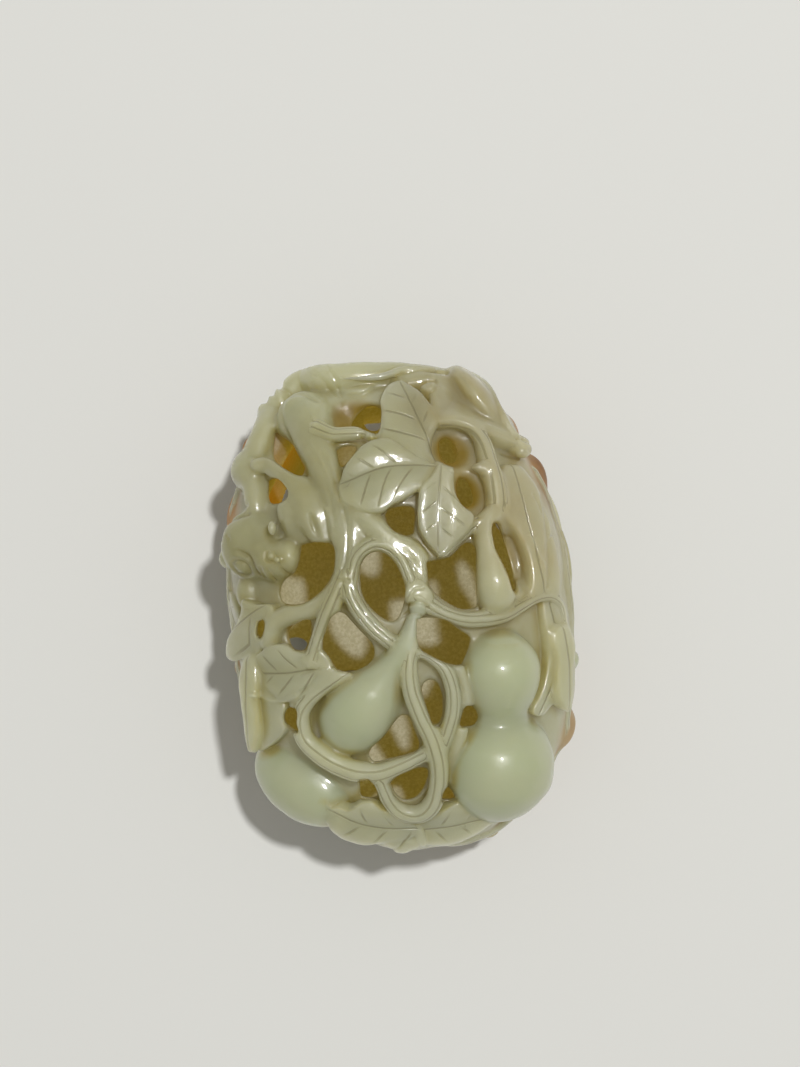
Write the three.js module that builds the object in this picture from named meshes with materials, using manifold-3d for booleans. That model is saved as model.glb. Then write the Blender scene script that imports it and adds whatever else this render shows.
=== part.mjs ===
// A hollow, egg-shaped jade pendant, carved right through: vine stems, leaves, gourds and two squirrels.
// It lies on its back on a small flat spot. X runs across it, Y up its length, Z out of its front.
// Lengths are millimetres. Each place on the front is an [x, y] pair, seen straight from the front.
import * as THREE from 'three';
import { mergeVertices } from 'three/addons/utils/BufferGeometryUtils.js';
import Module from 'manifold-3d';

// The egg: its halves, how square its outline is, and how far its top leans to the left.
const halfWidth = 23.4;
const halfHeight = 32.3;
const frontDepth = 16.5;
const backDepth = 17.7;
const squareness = 2.35;
const lean = 0.08;
const middle = 17; // height of the widest section above the flat spot

// The wall left round the hollow, thicker at the back.
const sideWall = 4.2;
const frontWall = 4;
const backWall = 5.6;

// How finely round things are faceted.
const eggSides = 28;
const eggRings = 13;
const hollowSides = 18;
const hollowRings = 8;
const stemSides = 6; // facets round a stem
const stemStep = 2.9; // length of one facet along a stem
const gourdSides = 11;
const holeSides = 9;
const lumpSides = 8;
const lumpRings = 6;
const leafStations = 5;

// What all leaves share.
const leafThickness = 2.6;
const leafCrown = 0.5;
const leafBend = 14; // radius that a leaf is bent to, across its midrib
const leafTipWidth = 0.25;
const leafWidest = 0.9; // under 1 the widest place lies nearer the stalk, over 1 nearer the tip
const leafFullness = 0.75; // under 1 the outline is fuller than a sine curve
const leafColumns = 2; // facets across a leaf

// Where the drills start, in front of or behind the widest section, so that they cut one wall only.
const drillStart = 1;

// The block that cuts the flat spot: many times wider than the egg, and how thick.
const blockSpread = 4;
const blockThickness = 10;

const weldDistance = 1e-4; // vertices nearer than this are one
const slopeStep = 0.01; // half the distance that the skin's slope is read over

const jadeColour = 0x9aa082;
const jadeRoughness = 0.22;

// Stems on the front: the middle line, the half width, and how far it stands over the egg.
const stems = {
  trunk: { path: [[-10.8, 22.1], [-8.6, 16], [-7.5, 10.4], [-7.1, 4.2]], half: 1.5, over: 0.3 },
  trunkTwin: { path: [[-6.9, 15.2], [-6, 11.2], [-6.7, 3.9]], half: 1, over: 0.2 },
  forkLeft: { path: [[-7.1, 4.4], [-9.5, -1.1], [-10.9, -6.2]], half: 1.1, over: 0.4 },
  forkRight: { path: [[-6.7, 4.4], [-4.8, 0.4], [-2.7, -2.8]], half: 1.1, over: 0.4 },
  arch: { path: [[-6.1, 2.7], [-5.1, 7.2], [-1.6, 8], [0.9, 4.6], [1.9, 2]], half: 1, over: 0.3 },
  underLeaf: { path: [[-6.9, 14.2], [-2.1, 9.9], [2.2, 7.2], [2, 2]], half: 1.1, over: 0 },
  leftBranch: { path: [[-7.9, 3.7], [-11.7, 0.5], [-16.1, -1.5], [-16.5, -3.8]], half: 1.1, over: 0.2 },
  crossing: {
    path: [[1.9, 2], [6.1, -0.2], [12.4, -0.4], [17, 1.8], [20.3, 1.1], [21.2, -3.7]],
    half: 1, over: 0.2,
  },
  pearStalk: { path: [[2, 2.6], [1.5, 0.2], [0.9, -1.5]], half: 1.1, over: 0.8 },
  bigLoop: {
    path: [[-7, -8.4], [-11.7, -10.4], [-13.2, -14.1], [-8.2, -18.9], [-2.7, -20.1], [2.9, -17.6]],
    half: 1.1, over: 0.7,
  },
  tendril: {
    path: [
      [1.9, -3.3], [1.4, -9.3], [4, -15.6], [4.9, -21.7],
      [1.5, -26.2], [-1.9, -23.4], [-2.9, -20.6],
    ],
    half: 1.1, over: 0.9,
  },
  tendrilRight: { path: [[2.1, -4.5], [5.7, -7], [6.7, -12.4], [5.5, -16.9]], half: 1.1, over: 0.4 },
  leafFrame: { path: [[4.6, 23.9], [8.9, 23], [11.2, 18], [10.9, 10.9]], half: 1.1, over: 0.2 },
  petiole: { path: [[4.9, 19], [7.6, 18.4], [10.8, 18.3]], half: 0.9, over: 0.3 },
  topRightStalk: { path: [[5.2, 24.2], [11.4, 22.7], [15.8, 20.7]], half: 0.8, over: 0.2 },
  topRim: { path: [[-12.4, 30], [-7, 30.9], [-1, 31.1], [4.6, 30.2]], half: 1.3, over: 0.2 },
  arm: { path: [[-11, 23.6], [-7, 22.4], [-4, 22]], half: 0.9, over: 0.4 },
};

// Gourds: the stalk end, the far end, how far the middle stands over the egg,
// and the outline as [share of the length, radius].
const gourds = {
  pear: {
    from: [2, 1], to: [-7.9, -16.7], over: 0.5,
    outline: [
      [0, 0], [0.03, 1], [0.25, 1.7], [0.42, 2.4], [0.6, 4.1],
      [0.74, 4.8], [0.88, 4], [0.97, 2], [1, 0],
    ],
  },
  double: {
    from: [13.3, -1.9], to: [13.4, -26.1], over: -1.6,
    outline: [
      [0, 0], [0.04, 2], [0.12, 3.9], [0.22, 4.9], [0.35, 4.4], [0.47, 3.1],
      [0.57, 4.9], [0.75, 6.3], [0.9, 4.8], [0.97, 2.6], [1, 0],
    ],
  },
  left: {
    from: [-18.1, -17.6], to: [-6.3, -25], over: -1.5,
    outline: [[0, 0], [0.05, 2.4], [0.2, 4.6], [0.45, 5.5], [0.75, 4.4], [0.93, 2.3], [1, 0]],
  },
  small: {
    from: [11.1, 12], to: [12.7, -1.2], over: 0,
    outline: [[0, 0], [0.04, 0.8], [0.3, 1.4], [0.5, 2.3], [0.68, 2.5], [0.9, 1.5], [1, 0]],
  },
};

// Leaves: the midrib from stalk to tip, the greatest half width, and how far they stand over the egg.
const leaves = {
  lobeTop: { rib: [[4.9, 18.7], [2, 23.9], [-0.6, 30]], half: 3.8, over: 1.3 },
  lobeLeft: { rib: [[5.4, 19], [-1.1, 18.4], [-7.9, 15.4]], half: 3.9, over: 1.6 },
  lobeLow: { rib: [[4.9, 19.5], [4.4, 13.5], [4.6, 7.2]], half: 2.9, over: 1.9 },
  topRight: { rib: [[4, 28.2], [9.2, 27.4], [15.4, 21.3]], half: 2.6, over: 0.2 },
  rightBig: { rib: [[18.5, 1.5], [17.6, 10.4], [15.3, 18.6]], half: 3, over: 0.7 },
  rightLow: { rib: [[18.4, 1.6], [19.4, -4.9], [18.6, -12.3]], half: 2, over: 1 },
  bottomLeft: { rib: [[2.4, -28.6], [-3.4, -28.9], [-9.7, -27.2]], half: 2.1, over: 0.3 },
  bottomRight: { rib: [[1.9, -28.6], [6.9, -28.2], [12.4, -27.2]], half: 2, over: 0.3 },
  midLeft: { rib: [[-11.2, -5.3], [-13.6, -7.4], [-18, -8.5]], half: 2.8, over: 0.8 },
  foldLeft: { rib: [[-18.6, -8.3], [-19.4, -13.1], [-18.4, -17.4]], half: 2.1, over: 0.9 },
  farLeft: { rib: [[-16.6, 1.3], [-19.4, -0.8], [-20.6, -6.9]], half: 2.1, over: 0.5 },
  ear: { rib: [[-19.2, 18.4], [-13.8, 17.3], [-9.9, 8.9]], half: 1.9, over: 0.4 },
};

// Rounded masses of the two squirrels: middle, half sizes across, along and out of the front, turn.
const lumps = {
  headLeft: { at: [-17.8, 8.3], half: [4.6, 4.4, 4], turn: 0, over: -1.2 },
  snoutLeft: { at: [-16, 5.6], half: [1.9, 1.7, 1.6], turn: 0, over: 0.4 },
  earLeft: { at: [-16.6, 10.4], half: [1.1, 1.4, 1], turn: 20, over: 1.6 },
  shoulderLeft: { at: [-19.6, 17.6], half: [2.4, 2.4, 3], turn: 0, over: -1 },
  haunchLeft: { at: [-16.6, 22.8], half: [3.2, 4.4, 3.4], turn: 15, over: -1.2 },
  knob: { at: [-10.9, 25.2], half: [3.2, 3.4, 2.4], turn: 0, over: -0.2 },
  headTop: { at: [1.8, 28.6], half: [3.8, 2.3, 2.4], turn: -8, over: 0 },
  backTop: { at: [10.6, 25.8], half: [5.2, 3, 2], turn: -40, over: -0.3 },
  footTop: { at: [15.6, 20.4], half: [1.7, 1.2, 1.8], turn: -30, over: 0.2 },
};

// Openings through the front wall: middle, half width, half height, turn in degrees.
const openings = {
  underArch: [-2.6, 3.1, 3.2, 4.9, 5],
  rightOfNode: [6.6, 3.7, 3.5, 4, 0],
  aboveBulb: [5.7, -3.4, 3.8, 3.3, 10],
  belowFork: [-6.6, -3.6, 3.7, 4.6, 10],
  besideHead: [-11.7, 4.9, 3, 4.2, 30],
  haunch: [-14.4, 20.1, 1.8, 3.3, -25],
  neck: [-15.9, 15.4, 1.5, 2, 10],
  top: [-3.7, 25.1, 2, 1.7, 0],
  underArm: [-7.2, 19.5, 1.1, 1.5, 0],
  heart: [0.1, 11.7, 2.1, 2.1, 0],
  frameUp: [7.4, 21.2, 2.2, 2.3, 0],
  frameLow: [9, 15.3, 1.4, 2.1, -10],
  slit: [13.6, 6.6, 1, 4.6, -12],
  triangleUp: [0.1, -15.7, 2.3, 3, 0],
  triangleLow: [1, -22, 2.5, 2.3, -20],
  tendrilEye: [4, -11.4, 1.3, 2.8, -8],
  besideWaist: [8.5, -13, 1.4, 1.5, 0],
  belowWaist: [6, -23.2, 1.1, 1.1, 0],
  lowLeft: [-4.4, -22.3, 1.3, 1.5, 0],
  leftFold: [-14, -13.7, 1.1, 1.8, 0],
  leftWindow: [-12.7, -2.9, 1.3, 2, 0],
};

// Small holes through the back wall, that show light from the front.
const backOpenings = {
  behindNeck: [-15.3, 15.6, 1.6, 2, 0],
  behindTop: [-3.4, 23.5, 1.4, 1.6, 0],
  behindWindow: [-13.2, -4.4, 1.7, 1.7, 0],
  behindFork: [-6.8, -8.2, 1.7, 1.5, 0],
  lowBack: [8.5, -19, 1.5, 1.9, 20],
  sideBack: [14, 12.5, 1.5, 2.4, -10],
};

// Low relief on the back, kept plain.
const backLeaves = {
  upper: { rib: [[-2, 9.5], [-7, 14.5], [-9.5, 21.5]], half: 3.6, over: 0.3 },
  right: { rib: [[3, 8.5], [9, 11.5], [15, 18]], half: 3.4, over: 0.3 },
  lower: { rib: [[-3, -9], [-10, -11.5], [-15.5, -17.5]], half: 3.4, over: 0.3 },
};
const backStems = {
  vine: {
    path: [[-11, -22], [-6.5, -11.2], [7.7, -8.8], [9.8, 2], [0, 10.4], [-1.5, 20.5]],
    half: 1.1, over: 0,
  },
};
const backGourds = {
  back: {
    from: [8.4, -9], to: [10.5, -23.5], over: -2.2,
    outline: [[0, 0], [0.05, 1.2], [0.3, 2.4], [0.6, 4], [0.85, 3.4], [0.97, 1.6], [1, 0]],
  },
};

const wasm = await Module();
wasm.setup();

// Turns a closed three.js geometry into a solid that can be joined and cut.
function solid(geometry) {
  const bare = geometry.clone();
  bare.deleteAttribute('normal');
  bare.deleteAttribute('uv');
  const merged = mergeVertices(bare, weldDistance);
  const vertProperties = new Float32Array(merged.attributes.position.array);
  const triVerts = new Uint32Array(merged.index.array);
  return new wasm.Manifold(new wasm.Mesh({ numProp: 3, vertProperties, triVerts }));
}

// Moves every vertex of a geometry to the place that a function gives it.
function reshape(geometry, place) {
  const spots = geometry.attributes.position;
  const spot = new THREE.Vector3();
  for (let i = 0; i < spots.count; i += 1) {
    spot.fromBufferAttribute(spots, i);
    const moved = place(spot);
    spots.setXYZ(i, moved.x, moved.y, moved.z);
  }
  return geometry;
}

// Superellipse radius: 0 in the middle of the egg, 1 on its outline.
function reach(x, y) {
  const across = Math.abs((x + lean * y) / halfWidth) ** squareness;
  const along = Math.abs(y / halfHeight) ** squareness;
  return (across + along) ** (1 / squareness);
}

// Height of the egg's front or back skin over a place, level outside its outline.
function skin(x, y, side) {
  const inside = Math.sqrt(Math.max(0, 1 - reach(x, y) ** 2));
  return side > 0 ? middle + frontDepth * inside : middle - backDepth * inside;
}

// Sphere pulled into the egg's shape: superellipse in plan, elliptical in section.
function eggShape(sides, rings, wide, high, front, back) {
  const ball = new THREE.SphereGeometry(1, sides, rings).rotateX(Math.PI / 2);
  return reshape(ball, (p) => {
    const turn = Math.atan2(p.y, p.x);
    const across = Math.abs(Math.cos(turn)) ** squareness;
    const along = Math.abs(Math.sin(turn)) ** squareness;
    const fit = Math.hypot(p.x, p.y) * (across + along) ** (-1 / squareness);
    const y = high * Math.sin(turn) * fit;
    const x = wide * Math.cos(turn) * fit - lean * y;
    return new THREE.Vector3(x, y, middle + (p.z > 0 ? front : back) * p.z);
  });
}

// Smooth line through places on the skin, standing over it.
function lineOnSkin(path, over, side) {
  const points = path.map(([x, y]) => new THREE.Vector3(x, y, skin(x, y, side) + side * over));
  return new THREE.CatmullRomCurve3(points);
}

// Corners of a regular polygon.
function ring(radius, sides) {
  const corner = (i) => (2 * Math.PI * i) / sides;
  const turns = Array.from({ length: sides }, (_, i) => corner(i));
  return turns.map((turn) => new THREE.Vector2(radius * Math.cos(turn), radius * Math.sin(turn)));
}

// Round stem that follows the skin.
function stemSolid({ path, half, over }, side) {
  const flat = new THREE.CatmullRomCurve3(path.map(([x, y]) => new THREE.Vector3(x, y, 0)));
  const steps = Math.max(3, Math.round(flat.getLength() / stemStep));
  const spots = flat.getSpacedPoints(steps).map((p) => [p.x, p.y]);
  const route = lineOnSkin(spots, over, side);
  const section = new THREE.Shape(ring(half, stemSides));
  const settings = { steps, extrudePath: route, bevelEnabled: false };
  return solid(new THREE.ExtrudeGeometry(section, settings));
}

// Gourd turned on an axis laid along the skin, rounded off at both ends.
function gourdSolid({ from, to, over, outline }, side) {
  const start = new THREE.Vector3(from[0], from[1], skin(from[0], from[1], side) + side * over);
  const end = new THREE.Vector3(to[0], to[1], skin(to[0], to[1], side) + side * over);
  const axis = end.clone().sub(start);
  const length = axis.length();
  const profile = outline.map(([share, radius]) => new THREE.Vector2(radius, share * length));
  const turn = new THREE.Quaternion().setFromUnitVectors(new THREE.Vector3(0, 1, 0), axis.normalize());
  const gourd = new THREE.LatheGeometry(profile, gourdSides);
  gourd.applyQuaternion(turn).translate(start.x, start.y, start.z);
  return solid(gourd);
}

// Straight out of the skin at a point on it: the slope of the egg's own equation.
function outward(point, side) {
  const depth = side > 0 ? frontDepth : backDepth;
  const { x, y, z } = point;
  const acrossChange = reach(x + slopeStep, y) ** 2 - reach(x - slopeStep, y) ** 2;
  const alongChange = reach(x, y + slopeStep) ** 2 - reach(x, y - slopeStep) ** 2;
  const outChange = (2 * (z - middle)) / depth ** 2;
  const slope = new THREE.Vector3(acrossChange, alongChange, 2 * slopeStep * outChange);
  return slope.normalize();
}

// Leaf: a thick sheet laid on the skin, widest before its middle, its edges drawn down to the egg.
function leafSolid({ rib, half, over }, side) {
  const line = lineOnSkin(rib, 0, side);
  const ends = [line.getPointAt(0), line.getPointAt(1)];
  const leaf = reshape(new THREE.BoxGeometry(1, 1, 1, leafColumns, leafStations, 1), (p) => {
    const share = p.y + 0.5;
    const flat = share <= 0 ? ends[0] : share >= 1 ? ends[1] : line.getPointAt(share);
    const rooted = new THREE.Vector3(flat.x, flat.y, skin(flat.x, flat.y, side));
    const up = outward(rooted, side);
    const across = line.getTangentAt(share).cross(up).normalize();
    const width = leafTipWidth + half * Math.sin(Math.PI * share ** leafWidest) ** leafFullness;
    const offset = 2 * p.x * width;
    const drop = offset ** 2 / (2 * leafBend);
    const lift = p.z > 0 ? over + leafCrown : over + leafCrown - leafThickness;
    return rooted.addScaledVector(across, offset).addScaledVector(up, lift - drop);
  });
  return solid(leaf);
}

// Rounded mass: a ball scaled, turned about Z and set into the front skin.
function lumpSolid({ at, half, turn, over }) {
  const ball = new THREE.SphereGeometry(1, lumpSides, lumpRings).rotateX(Math.PI / 2);
  ball.scale(half[0], half[1], half[2]).rotateZ(THREE.MathUtils.degToRad(turn));
  ball.translate(at[0], at[1], skin(at[0], at[1], 1) + over);
  return solid(ball);
}

// Straight drill of oval section, from the hollow out through one wall.
function drillSolid([x, y, halfAcross, halfAlong, turn], side) {
  const length = frontDepth + backDepth;
  const drill = new THREE.CylinderGeometry(1, 1, length, holeSides).rotateX(Math.PI / 2);
  drill.scale(halfAcross, halfAlong, 1).rotateZ(THREE.MathUtils.degToRad(turn));
  drill.translate(x, y, middle + side * (length / 2 + drillStart));
  return solid(drill);
}

function joined(solids) {
  return solids.reduce((sum, next) => sum.add(next));
}

// Hollow egg with its openings cut, before the carving is added to it.
function openShell() {
  const outside = eggShape(eggSides, eggRings, halfWidth, halfHeight, frontDepth, backDepth);
  const hollow = eggShape(
    hollowSides, hollowRings,
    halfWidth - sideWall, halfHeight - sideWall, frontDepth - frontWall, backDepth - backWall,
  );
  const drills = [
    ...Object.values(openings).map((hole) => drillSolid(hole, 1)),
    ...Object.values(backOpenings).map((hole) => drillSolid(hole, -1)),
  ];
  return solid(outside).subtract(solid(hollow)).subtract(joined(drills));
}

// Everything carved proud of the egg.
function carving() {
  return joined([
    ...Object.values(stems).map((stem) => stemSolid(stem, 1)),
    ...Object.values(gourds).map((gourd) => gourdSolid(gourd, 1)),
    ...Object.values(leaves).map((leaf) => leafSolid(leaf, 1)),
    ...Object.values(lumps).map((lump) => lumpSolid(lump)),
    ...Object.values(backStems).map((stem) => stemSolid(stem, -1)),
    ...Object.values(backGourds).map((gourd) => gourdSolid(gourd, -1)),
    ...Object.values(backLeaves).map((leaf) => leafSolid(leaf, -1)),
  ]);
}

// Flat spot: everything below the surface that the pendant lies on is cut away.
function groundCutter() {
  const wide = blockSpread * halfWidth;
  const long = blockSpread * halfHeight;
  const block = new THREE.BoxGeometry(wide, long, blockThickness);
  return solid(block.translate(0, 0, -blockThickness / 2));
}

// The one connected skin that holds the most: small pockets closed in between carvings are filled.
function outerSkin(shape) {
  const skins = shape.decompose();
  return skins.reduce((most, next) => (next.volume() > most.volume() ? next : most));
}

function toGeometry(shape) {
  const mesh = shape.getMesh();
  const geometry = new THREE.BufferGeometry();
  const spots = new Float32Array(mesh.numVert * 3);
  for (let i = 0; i < mesh.numVert; i += 1) {
    spots.set(mesh.vertProperties.subarray(i * mesh.numProp, i * mesh.numProp + 3), 3 * i);
  }
  geometry.setAttribute('position', new THREE.BufferAttribute(spots, 3));
  geometry.setIndex(new THREE.BufferAttribute(new Uint32Array(mesh.triVerts), 1));
  return geometry;
}

const jade = new THREE.MeshStandardMaterial({ color: jadeColour, roughness: jadeRoughness });
const shape = outerSkin(openShell().add(carving()).subtract(groundCutter()));
const geometry = toGeometry(shape);
geometry.computeBoundingBox();
const box = geometry.boundingBox;
geometry.translate(-(box.min.x + box.max.x) / 2, -(box.min.y + box.max.y) / 2, -box.min.z);
geometry.computeVertexNormals();

const pendant = new THREE.Mesh(geometry, jade);
pendant.name = 'squirrel_gourd_pendant';

const group = new THREE.Group();
group.add(pendant);
export default group;
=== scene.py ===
import math

import bpy
import numpy as np
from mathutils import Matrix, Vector


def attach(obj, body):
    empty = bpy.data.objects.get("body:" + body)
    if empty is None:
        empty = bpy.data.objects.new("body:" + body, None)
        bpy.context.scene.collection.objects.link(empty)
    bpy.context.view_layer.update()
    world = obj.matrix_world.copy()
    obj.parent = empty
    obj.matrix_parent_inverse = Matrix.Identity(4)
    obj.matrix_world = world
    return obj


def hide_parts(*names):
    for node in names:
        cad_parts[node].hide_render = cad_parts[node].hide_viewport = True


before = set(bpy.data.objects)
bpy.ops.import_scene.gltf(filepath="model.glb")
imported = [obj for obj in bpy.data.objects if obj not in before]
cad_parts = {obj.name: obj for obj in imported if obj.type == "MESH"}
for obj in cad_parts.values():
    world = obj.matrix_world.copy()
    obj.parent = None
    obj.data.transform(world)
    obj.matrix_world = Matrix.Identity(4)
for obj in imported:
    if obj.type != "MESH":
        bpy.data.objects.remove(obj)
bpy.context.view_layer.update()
mm = 0.001  # sizes below are millimetres unless a comment says otherwise, and Blender's are metres

# The carving is worked out as one field: for every point of a fine regular grid, how far it is from
# the stone's surface, negative inside. Each stem, gourd, leaf or opening has its own distance from a
# formula, and joining or cutting takes the lower or the higher of two distances. Places are seen from
# the front, X to the right and Y up. On the flanks they are a turn about Z in degrees, and a height.

# The egg that the pendant is carved from, and the fineness of the carving.
egg = {
    "halfWidth": 22.9,
    "halfHeight": 31.7,
    "frontDepth": 16.2,
    "backDepth": 17.7,
    "squareness": 2.35,  # 2 is an ellipse seen from the front, more is squarer
    "lean": 0.08,  # how far the top leans to the left
    "middle": 17.0,  # height of the widest section over the surface it lies on
    "ground": 0.9,  # the ground between stems and leaves lies this far below the egg's full size
    "sideWall": 4.4,
    "frontWall": 3.8,
    "backWall": 5.6,
    "wallBlend": 0.6,
    "floorBlend": 0.1,  # rounding of the flat spot's edge
    "grain": 0.2,  # spacing of the points that the stone is worked out on
    "quickGrain": 0.4,
    "room": 2.6,  # space kept round the egg for what stands proud of it
    "triangles": 196000,
    "seed": 5,
}


pathStep = 0.6  # spacing of the points along a stem or a midrib
fineStep = 0.4  # and along an outline, an axis or a scored line
pathRoom = 1.2  # how far over its own width a stem or a gourd is worked out


def smoothPath(corners, step):
    # A cubic between each two corners, whose slope at a corner is half the step between its neighbours;
    # then points at even spacing along it.
    corners = np.asarray(corners, float)
    knots = np.vstack([2 * corners[0] - corners[1], corners, 2 * corners[-1] - corners[-2]])
    a, b, c, d = (knots[i:len(knots) - 3 + i, None] for i in range(4))
    t = np.linspace(0, 1, 24, endpoint=False)[None, :, None]
    curve = 2 * b + (c - a) * t + (2 * a - 5 * b + 4 * c - d) * t**2 + (3 * b - a - 3 * c + d) * t**3
    curve = np.vstack([0.5 * curve.reshape(-1, corners.shape[1]), corners[-1:]])
    run = np.concatenate([[0], np.cumsum(np.linalg.norm(np.diff(curve, axis=0), axis=1))])
    even = np.linspace(0, run[-1], max(3, int(run[-1] / step) + 1))
    return np.stack([np.interp(even, run, curve[:, i]) for i in range(corners.shape[1])], 1)


def spread(values, share):
    # Values given at even shares of a length, read off in between.
    values = np.atleast_1d(np.asarray(values, float))
    return np.interp(share, np.linspace(0, 1, len(values)), values).astype(np.float32)


def eggLevel(x, y, z, side=0.0, front=0.0, back=0.0):
    # Radius of a squared ellipse in plan and of an ellipse in height, less one, over its own slope:
    # millimetres above the egg's surface, and the direction straight out of it.
    wide, high, n = egg["halfWidth"] - side, egg["halfHeight"] - side, egg["squareness"]
    depth = np.where(z > egg["middle"], egg["frontDepth"] - front, egg["backDepth"] - back)
    leaning = x + egg["lean"] * y
    across, along = np.abs(leaning) / wide, np.abs(y) / high
    power = across**n + along**n + 1e-9
    fall = 2 * power ** (2 / n - 1)
    slopeX = fall * across ** (n - 1) / wide * np.sign(leaning)
    slopeY = fall * along ** (n - 1) / high * np.sign(y) + egg["lean"] * slopeX
    rise = (z - egg["middle"]) / depth
    slopeZ = 2 * rise / depth
    radius = np.sqrt(power ** (2 / n) + rise**2)
    steep = np.maximum(np.sqrt(slopeX**2 + slopeY**2 + slopeZ**2), 1e-4)
    level = (radius - 1) * 2 * radius / steep
    return level.astype(np.float32), (slopeX / steep, slopeY / steep, slopeZ / steep)


def onSkin(places, over=0.0, side=1):
    # Places put on the front (side 1) or the back (side -1) of the egg and lifted straight off it: the
    # height is the depth times the root of one less the squared radius in plan.
    places = np.asarray(places, float)
    x, y, n = places[:, 0], places[:, 1], egg["squareness"]
    leaning = np.abs(x + egg["lean"] * y) / egg["halfWidth"]
    plan = (leaning**n + (np.abs(y) / egg["halfHeight"]) ** n) ** (2 / n)
    depth = egg["frontDepth"] if side > 0 else egg["backDepth"]
    z = egg["middle"] + side * depth * np.sqrt(np.clip(1 - plan, 1e-4, 1))
    ups = np.stack(eggLevel(x, y, z)[1], 1)
    points = np.stack([x, y, z], 1)
    return points + ups * np.asarray(over, float).reshape(-1, 1), ups


def onFlank(places, over=0.0):
    # Places on the flanks, as a turn about Z in degrees and a height, put on the egg and lifted off it:
    # the squared ellipse of the plan, shrunk by the root of one less the squared share of the depth.
    places = np.asarray(places, float)
    turn, z, n = np.radians(places[:, 0]), places[:, 1], egg["squareness"]
    fit = (np.abs(np.cos(turn)) ** n + np.abs(np.sin(turn)) ** n) ** (-1 / n)
    depth = np.where(z > egg["middle"], egg["frontDepth"], egg["backDepth"])
    ring = np.sqrt(np.clip(1 - ((z - egg["middle"]) / depth) ** 2, 0, 1)) * fit
    y = egg["halfHeight"] * np.sin(turn) * ring
    x = egg["halfWidth"] * np.cos(turn) * ring - egg["lean"] * y
    ups = np.stack(eggLevel(x, y, z)[1], 1)
    return np.stack([x, y, z], 1) + ups * np.asarray(over, float).reshape(-1, 1), ups


def place(piece, corners, over=0.0):
    # A piece's corners on the part of the egg that it belongs to, each with its way straight out.
    if "flank" in piece:
        return onFlank(corners, over)
    return onSkin(corners, over, piece.get("side", 1))


# The grid that the stone is worked out on, a few points deeper than the surface that it lies on.
grain = egg["grain"]
reachX = egg["halfWidth"] + egg["room"]
reachY = egg["halfHeight"] + egg["room"]
axes = [
    np.arange(-reachX, reachX, grain, dtype=np.float32),
    np.arange(-reachY, reachY, grain, dtype=np.float32),
    np.arange(-3 * grain, egg["middle"] + egg["frontDepth"] + egg["room"], grain, dtype=np.float32),
]


def near(low, high):
    # The part of the grid between two corners, as slices and coordinates that broadcast.
    cuts, coords = [], []
    for i in range(3):
        first = int(np.clip(np.searchsorted(axes[i], low[i]), 0, len(axes[i]) - 2))
        last = int(np.clip(np.searchsorted(axes[i], high[i]), first + 1, len(axes[i])))
        cuts.append(slice(first, last))
        coords.append(axes[i][first:last].reshape([-1 if n == i else 1 for n in range(3)]))
    return tuple(cuts), coords


def melt(a, b, blend):
    # The lower of two distances. Where they differ by less than the blend it is lower still, by the
    # square of what is left of the blend over four blends, which rounds the crease between them.
    h = np.clip(blend - np.abs(a - b), 0, None)
    return np.minimum(a, b) - h * h / (4 * blend)


def clip(a, b, blend):
    # The higher of two distances, as the melt of both turned round, so the edge between them is rounded.
    return -melt(-a, -b, blend)


def claim(where, distance, **values):
    # Notes what a piece is like wherever it is nearer to the surface than what is carved already.
    nearer = distance < stone[where] + marks["over"]
    for name, trait in traits.items():
        trait[where] = np.where(nearer, values.get(name, 0.0), trait[where])


def ripple(spacing):
    # Smooth noise through the grid: random values at wide spacing, in between by quadratic splines.
    knots = [int(len(a) * grain / spacing) + 4 for a in axes]
    values = dice.normal(size=knots).astype(np.float32)
    for count, axis in zip(knots, axes):
        spot = (axis - axis[0]) / spacing
        share = np.abs(spot[:, None] - np.arange(count)[None] + 1)
        bell = np.where(share < 0.5, 0.75 - share**2, np.clip(1.5 - share, 0, None) ** 2 / 2)
        values = np.tensordot(values, bell.astype(np.float32), axes=(0, 1))
    return values


def join(where, distance, blend):
    # Adds a piece: the lower of its distance and the stone's.
    stone[where] = melt(stone[where], distance, blend)


def cutAway(where, distance, blend):
    # Takes a piece away: the higher of the stone's distance and the piece's own turned round.
    stone[where] = clip(stone[where], -distance, blend)


def followPath(points, ups, reach):
    # For each grid point close to a path: its share of the length, and millimetres to the side of it,
    # over it and away from it. The nearest straight piece counts, where the point's shadow falls on it.
    where, (x, y, z) = near(points.min(0) - reach, points.max(0) + reach)
    shape = (x.shape[0], y.shape[1], z.shape[2])
    away = np.full(shape, 400.0, np.float32)  # squared until the end
    along, aside, over = (np.zeros(shape, np.float32) for _ in range(3))
    start = [w.start for w in where]
    run = 0.0
    for i in range(len(points) - 1):
        low = np.minimum(points[i], points[i + 1]) - reach
        high = np.maximum(points[i], points[i + 1]) + reach
        part, (px, py, pz) = near(low, high)
        inner = tuple(slice(p.start - s, p.stop - s) for p, s in zip(part, start))
        stride = points[i + 1] - points[i]
        length = float(np.linalg.norm(stride))
        aim = stride / length
        right = np.cross(aim, ups[i] + ups[i + 1])
        right /= np.linalg.norm(right)
        up = np.cross(right, aim)
        vx, vy, vz = px - points[i][0], py - points[i][1], pz - points[i][2]
        t = np.clip((vx * aim[0] + vy * aim[1] + vz * aim[2]), 0, length)
        vx, vy, vz = vx - t * aim[0], vy - t * aim[1], vz - t * aim[2]
        square = vx * vx + vy * vy + vz * vz
        closer = square < away[inner]
        away[inner] = np.where(closer, square, away[inner])
        along[inner] = np.where(closer, run + t, along[inner])
        aside[inner] = np.where(closer, vx * right[0] + vy * right[1] + vz * right[2], aside[inner])
        over[inner] = np.where(closer, vx * up[0] + vy * up[1] + vz * up[2], over[inner])
        run += length
    return where, along / run, aside, over, np.sqrt(away)


flankPitch = 0.5  # millimetres along the side of the egg for one degree of turn
skinBand = (3.5, 4.5)  # how far below and over its corners a piece on the skin is worked out


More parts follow.
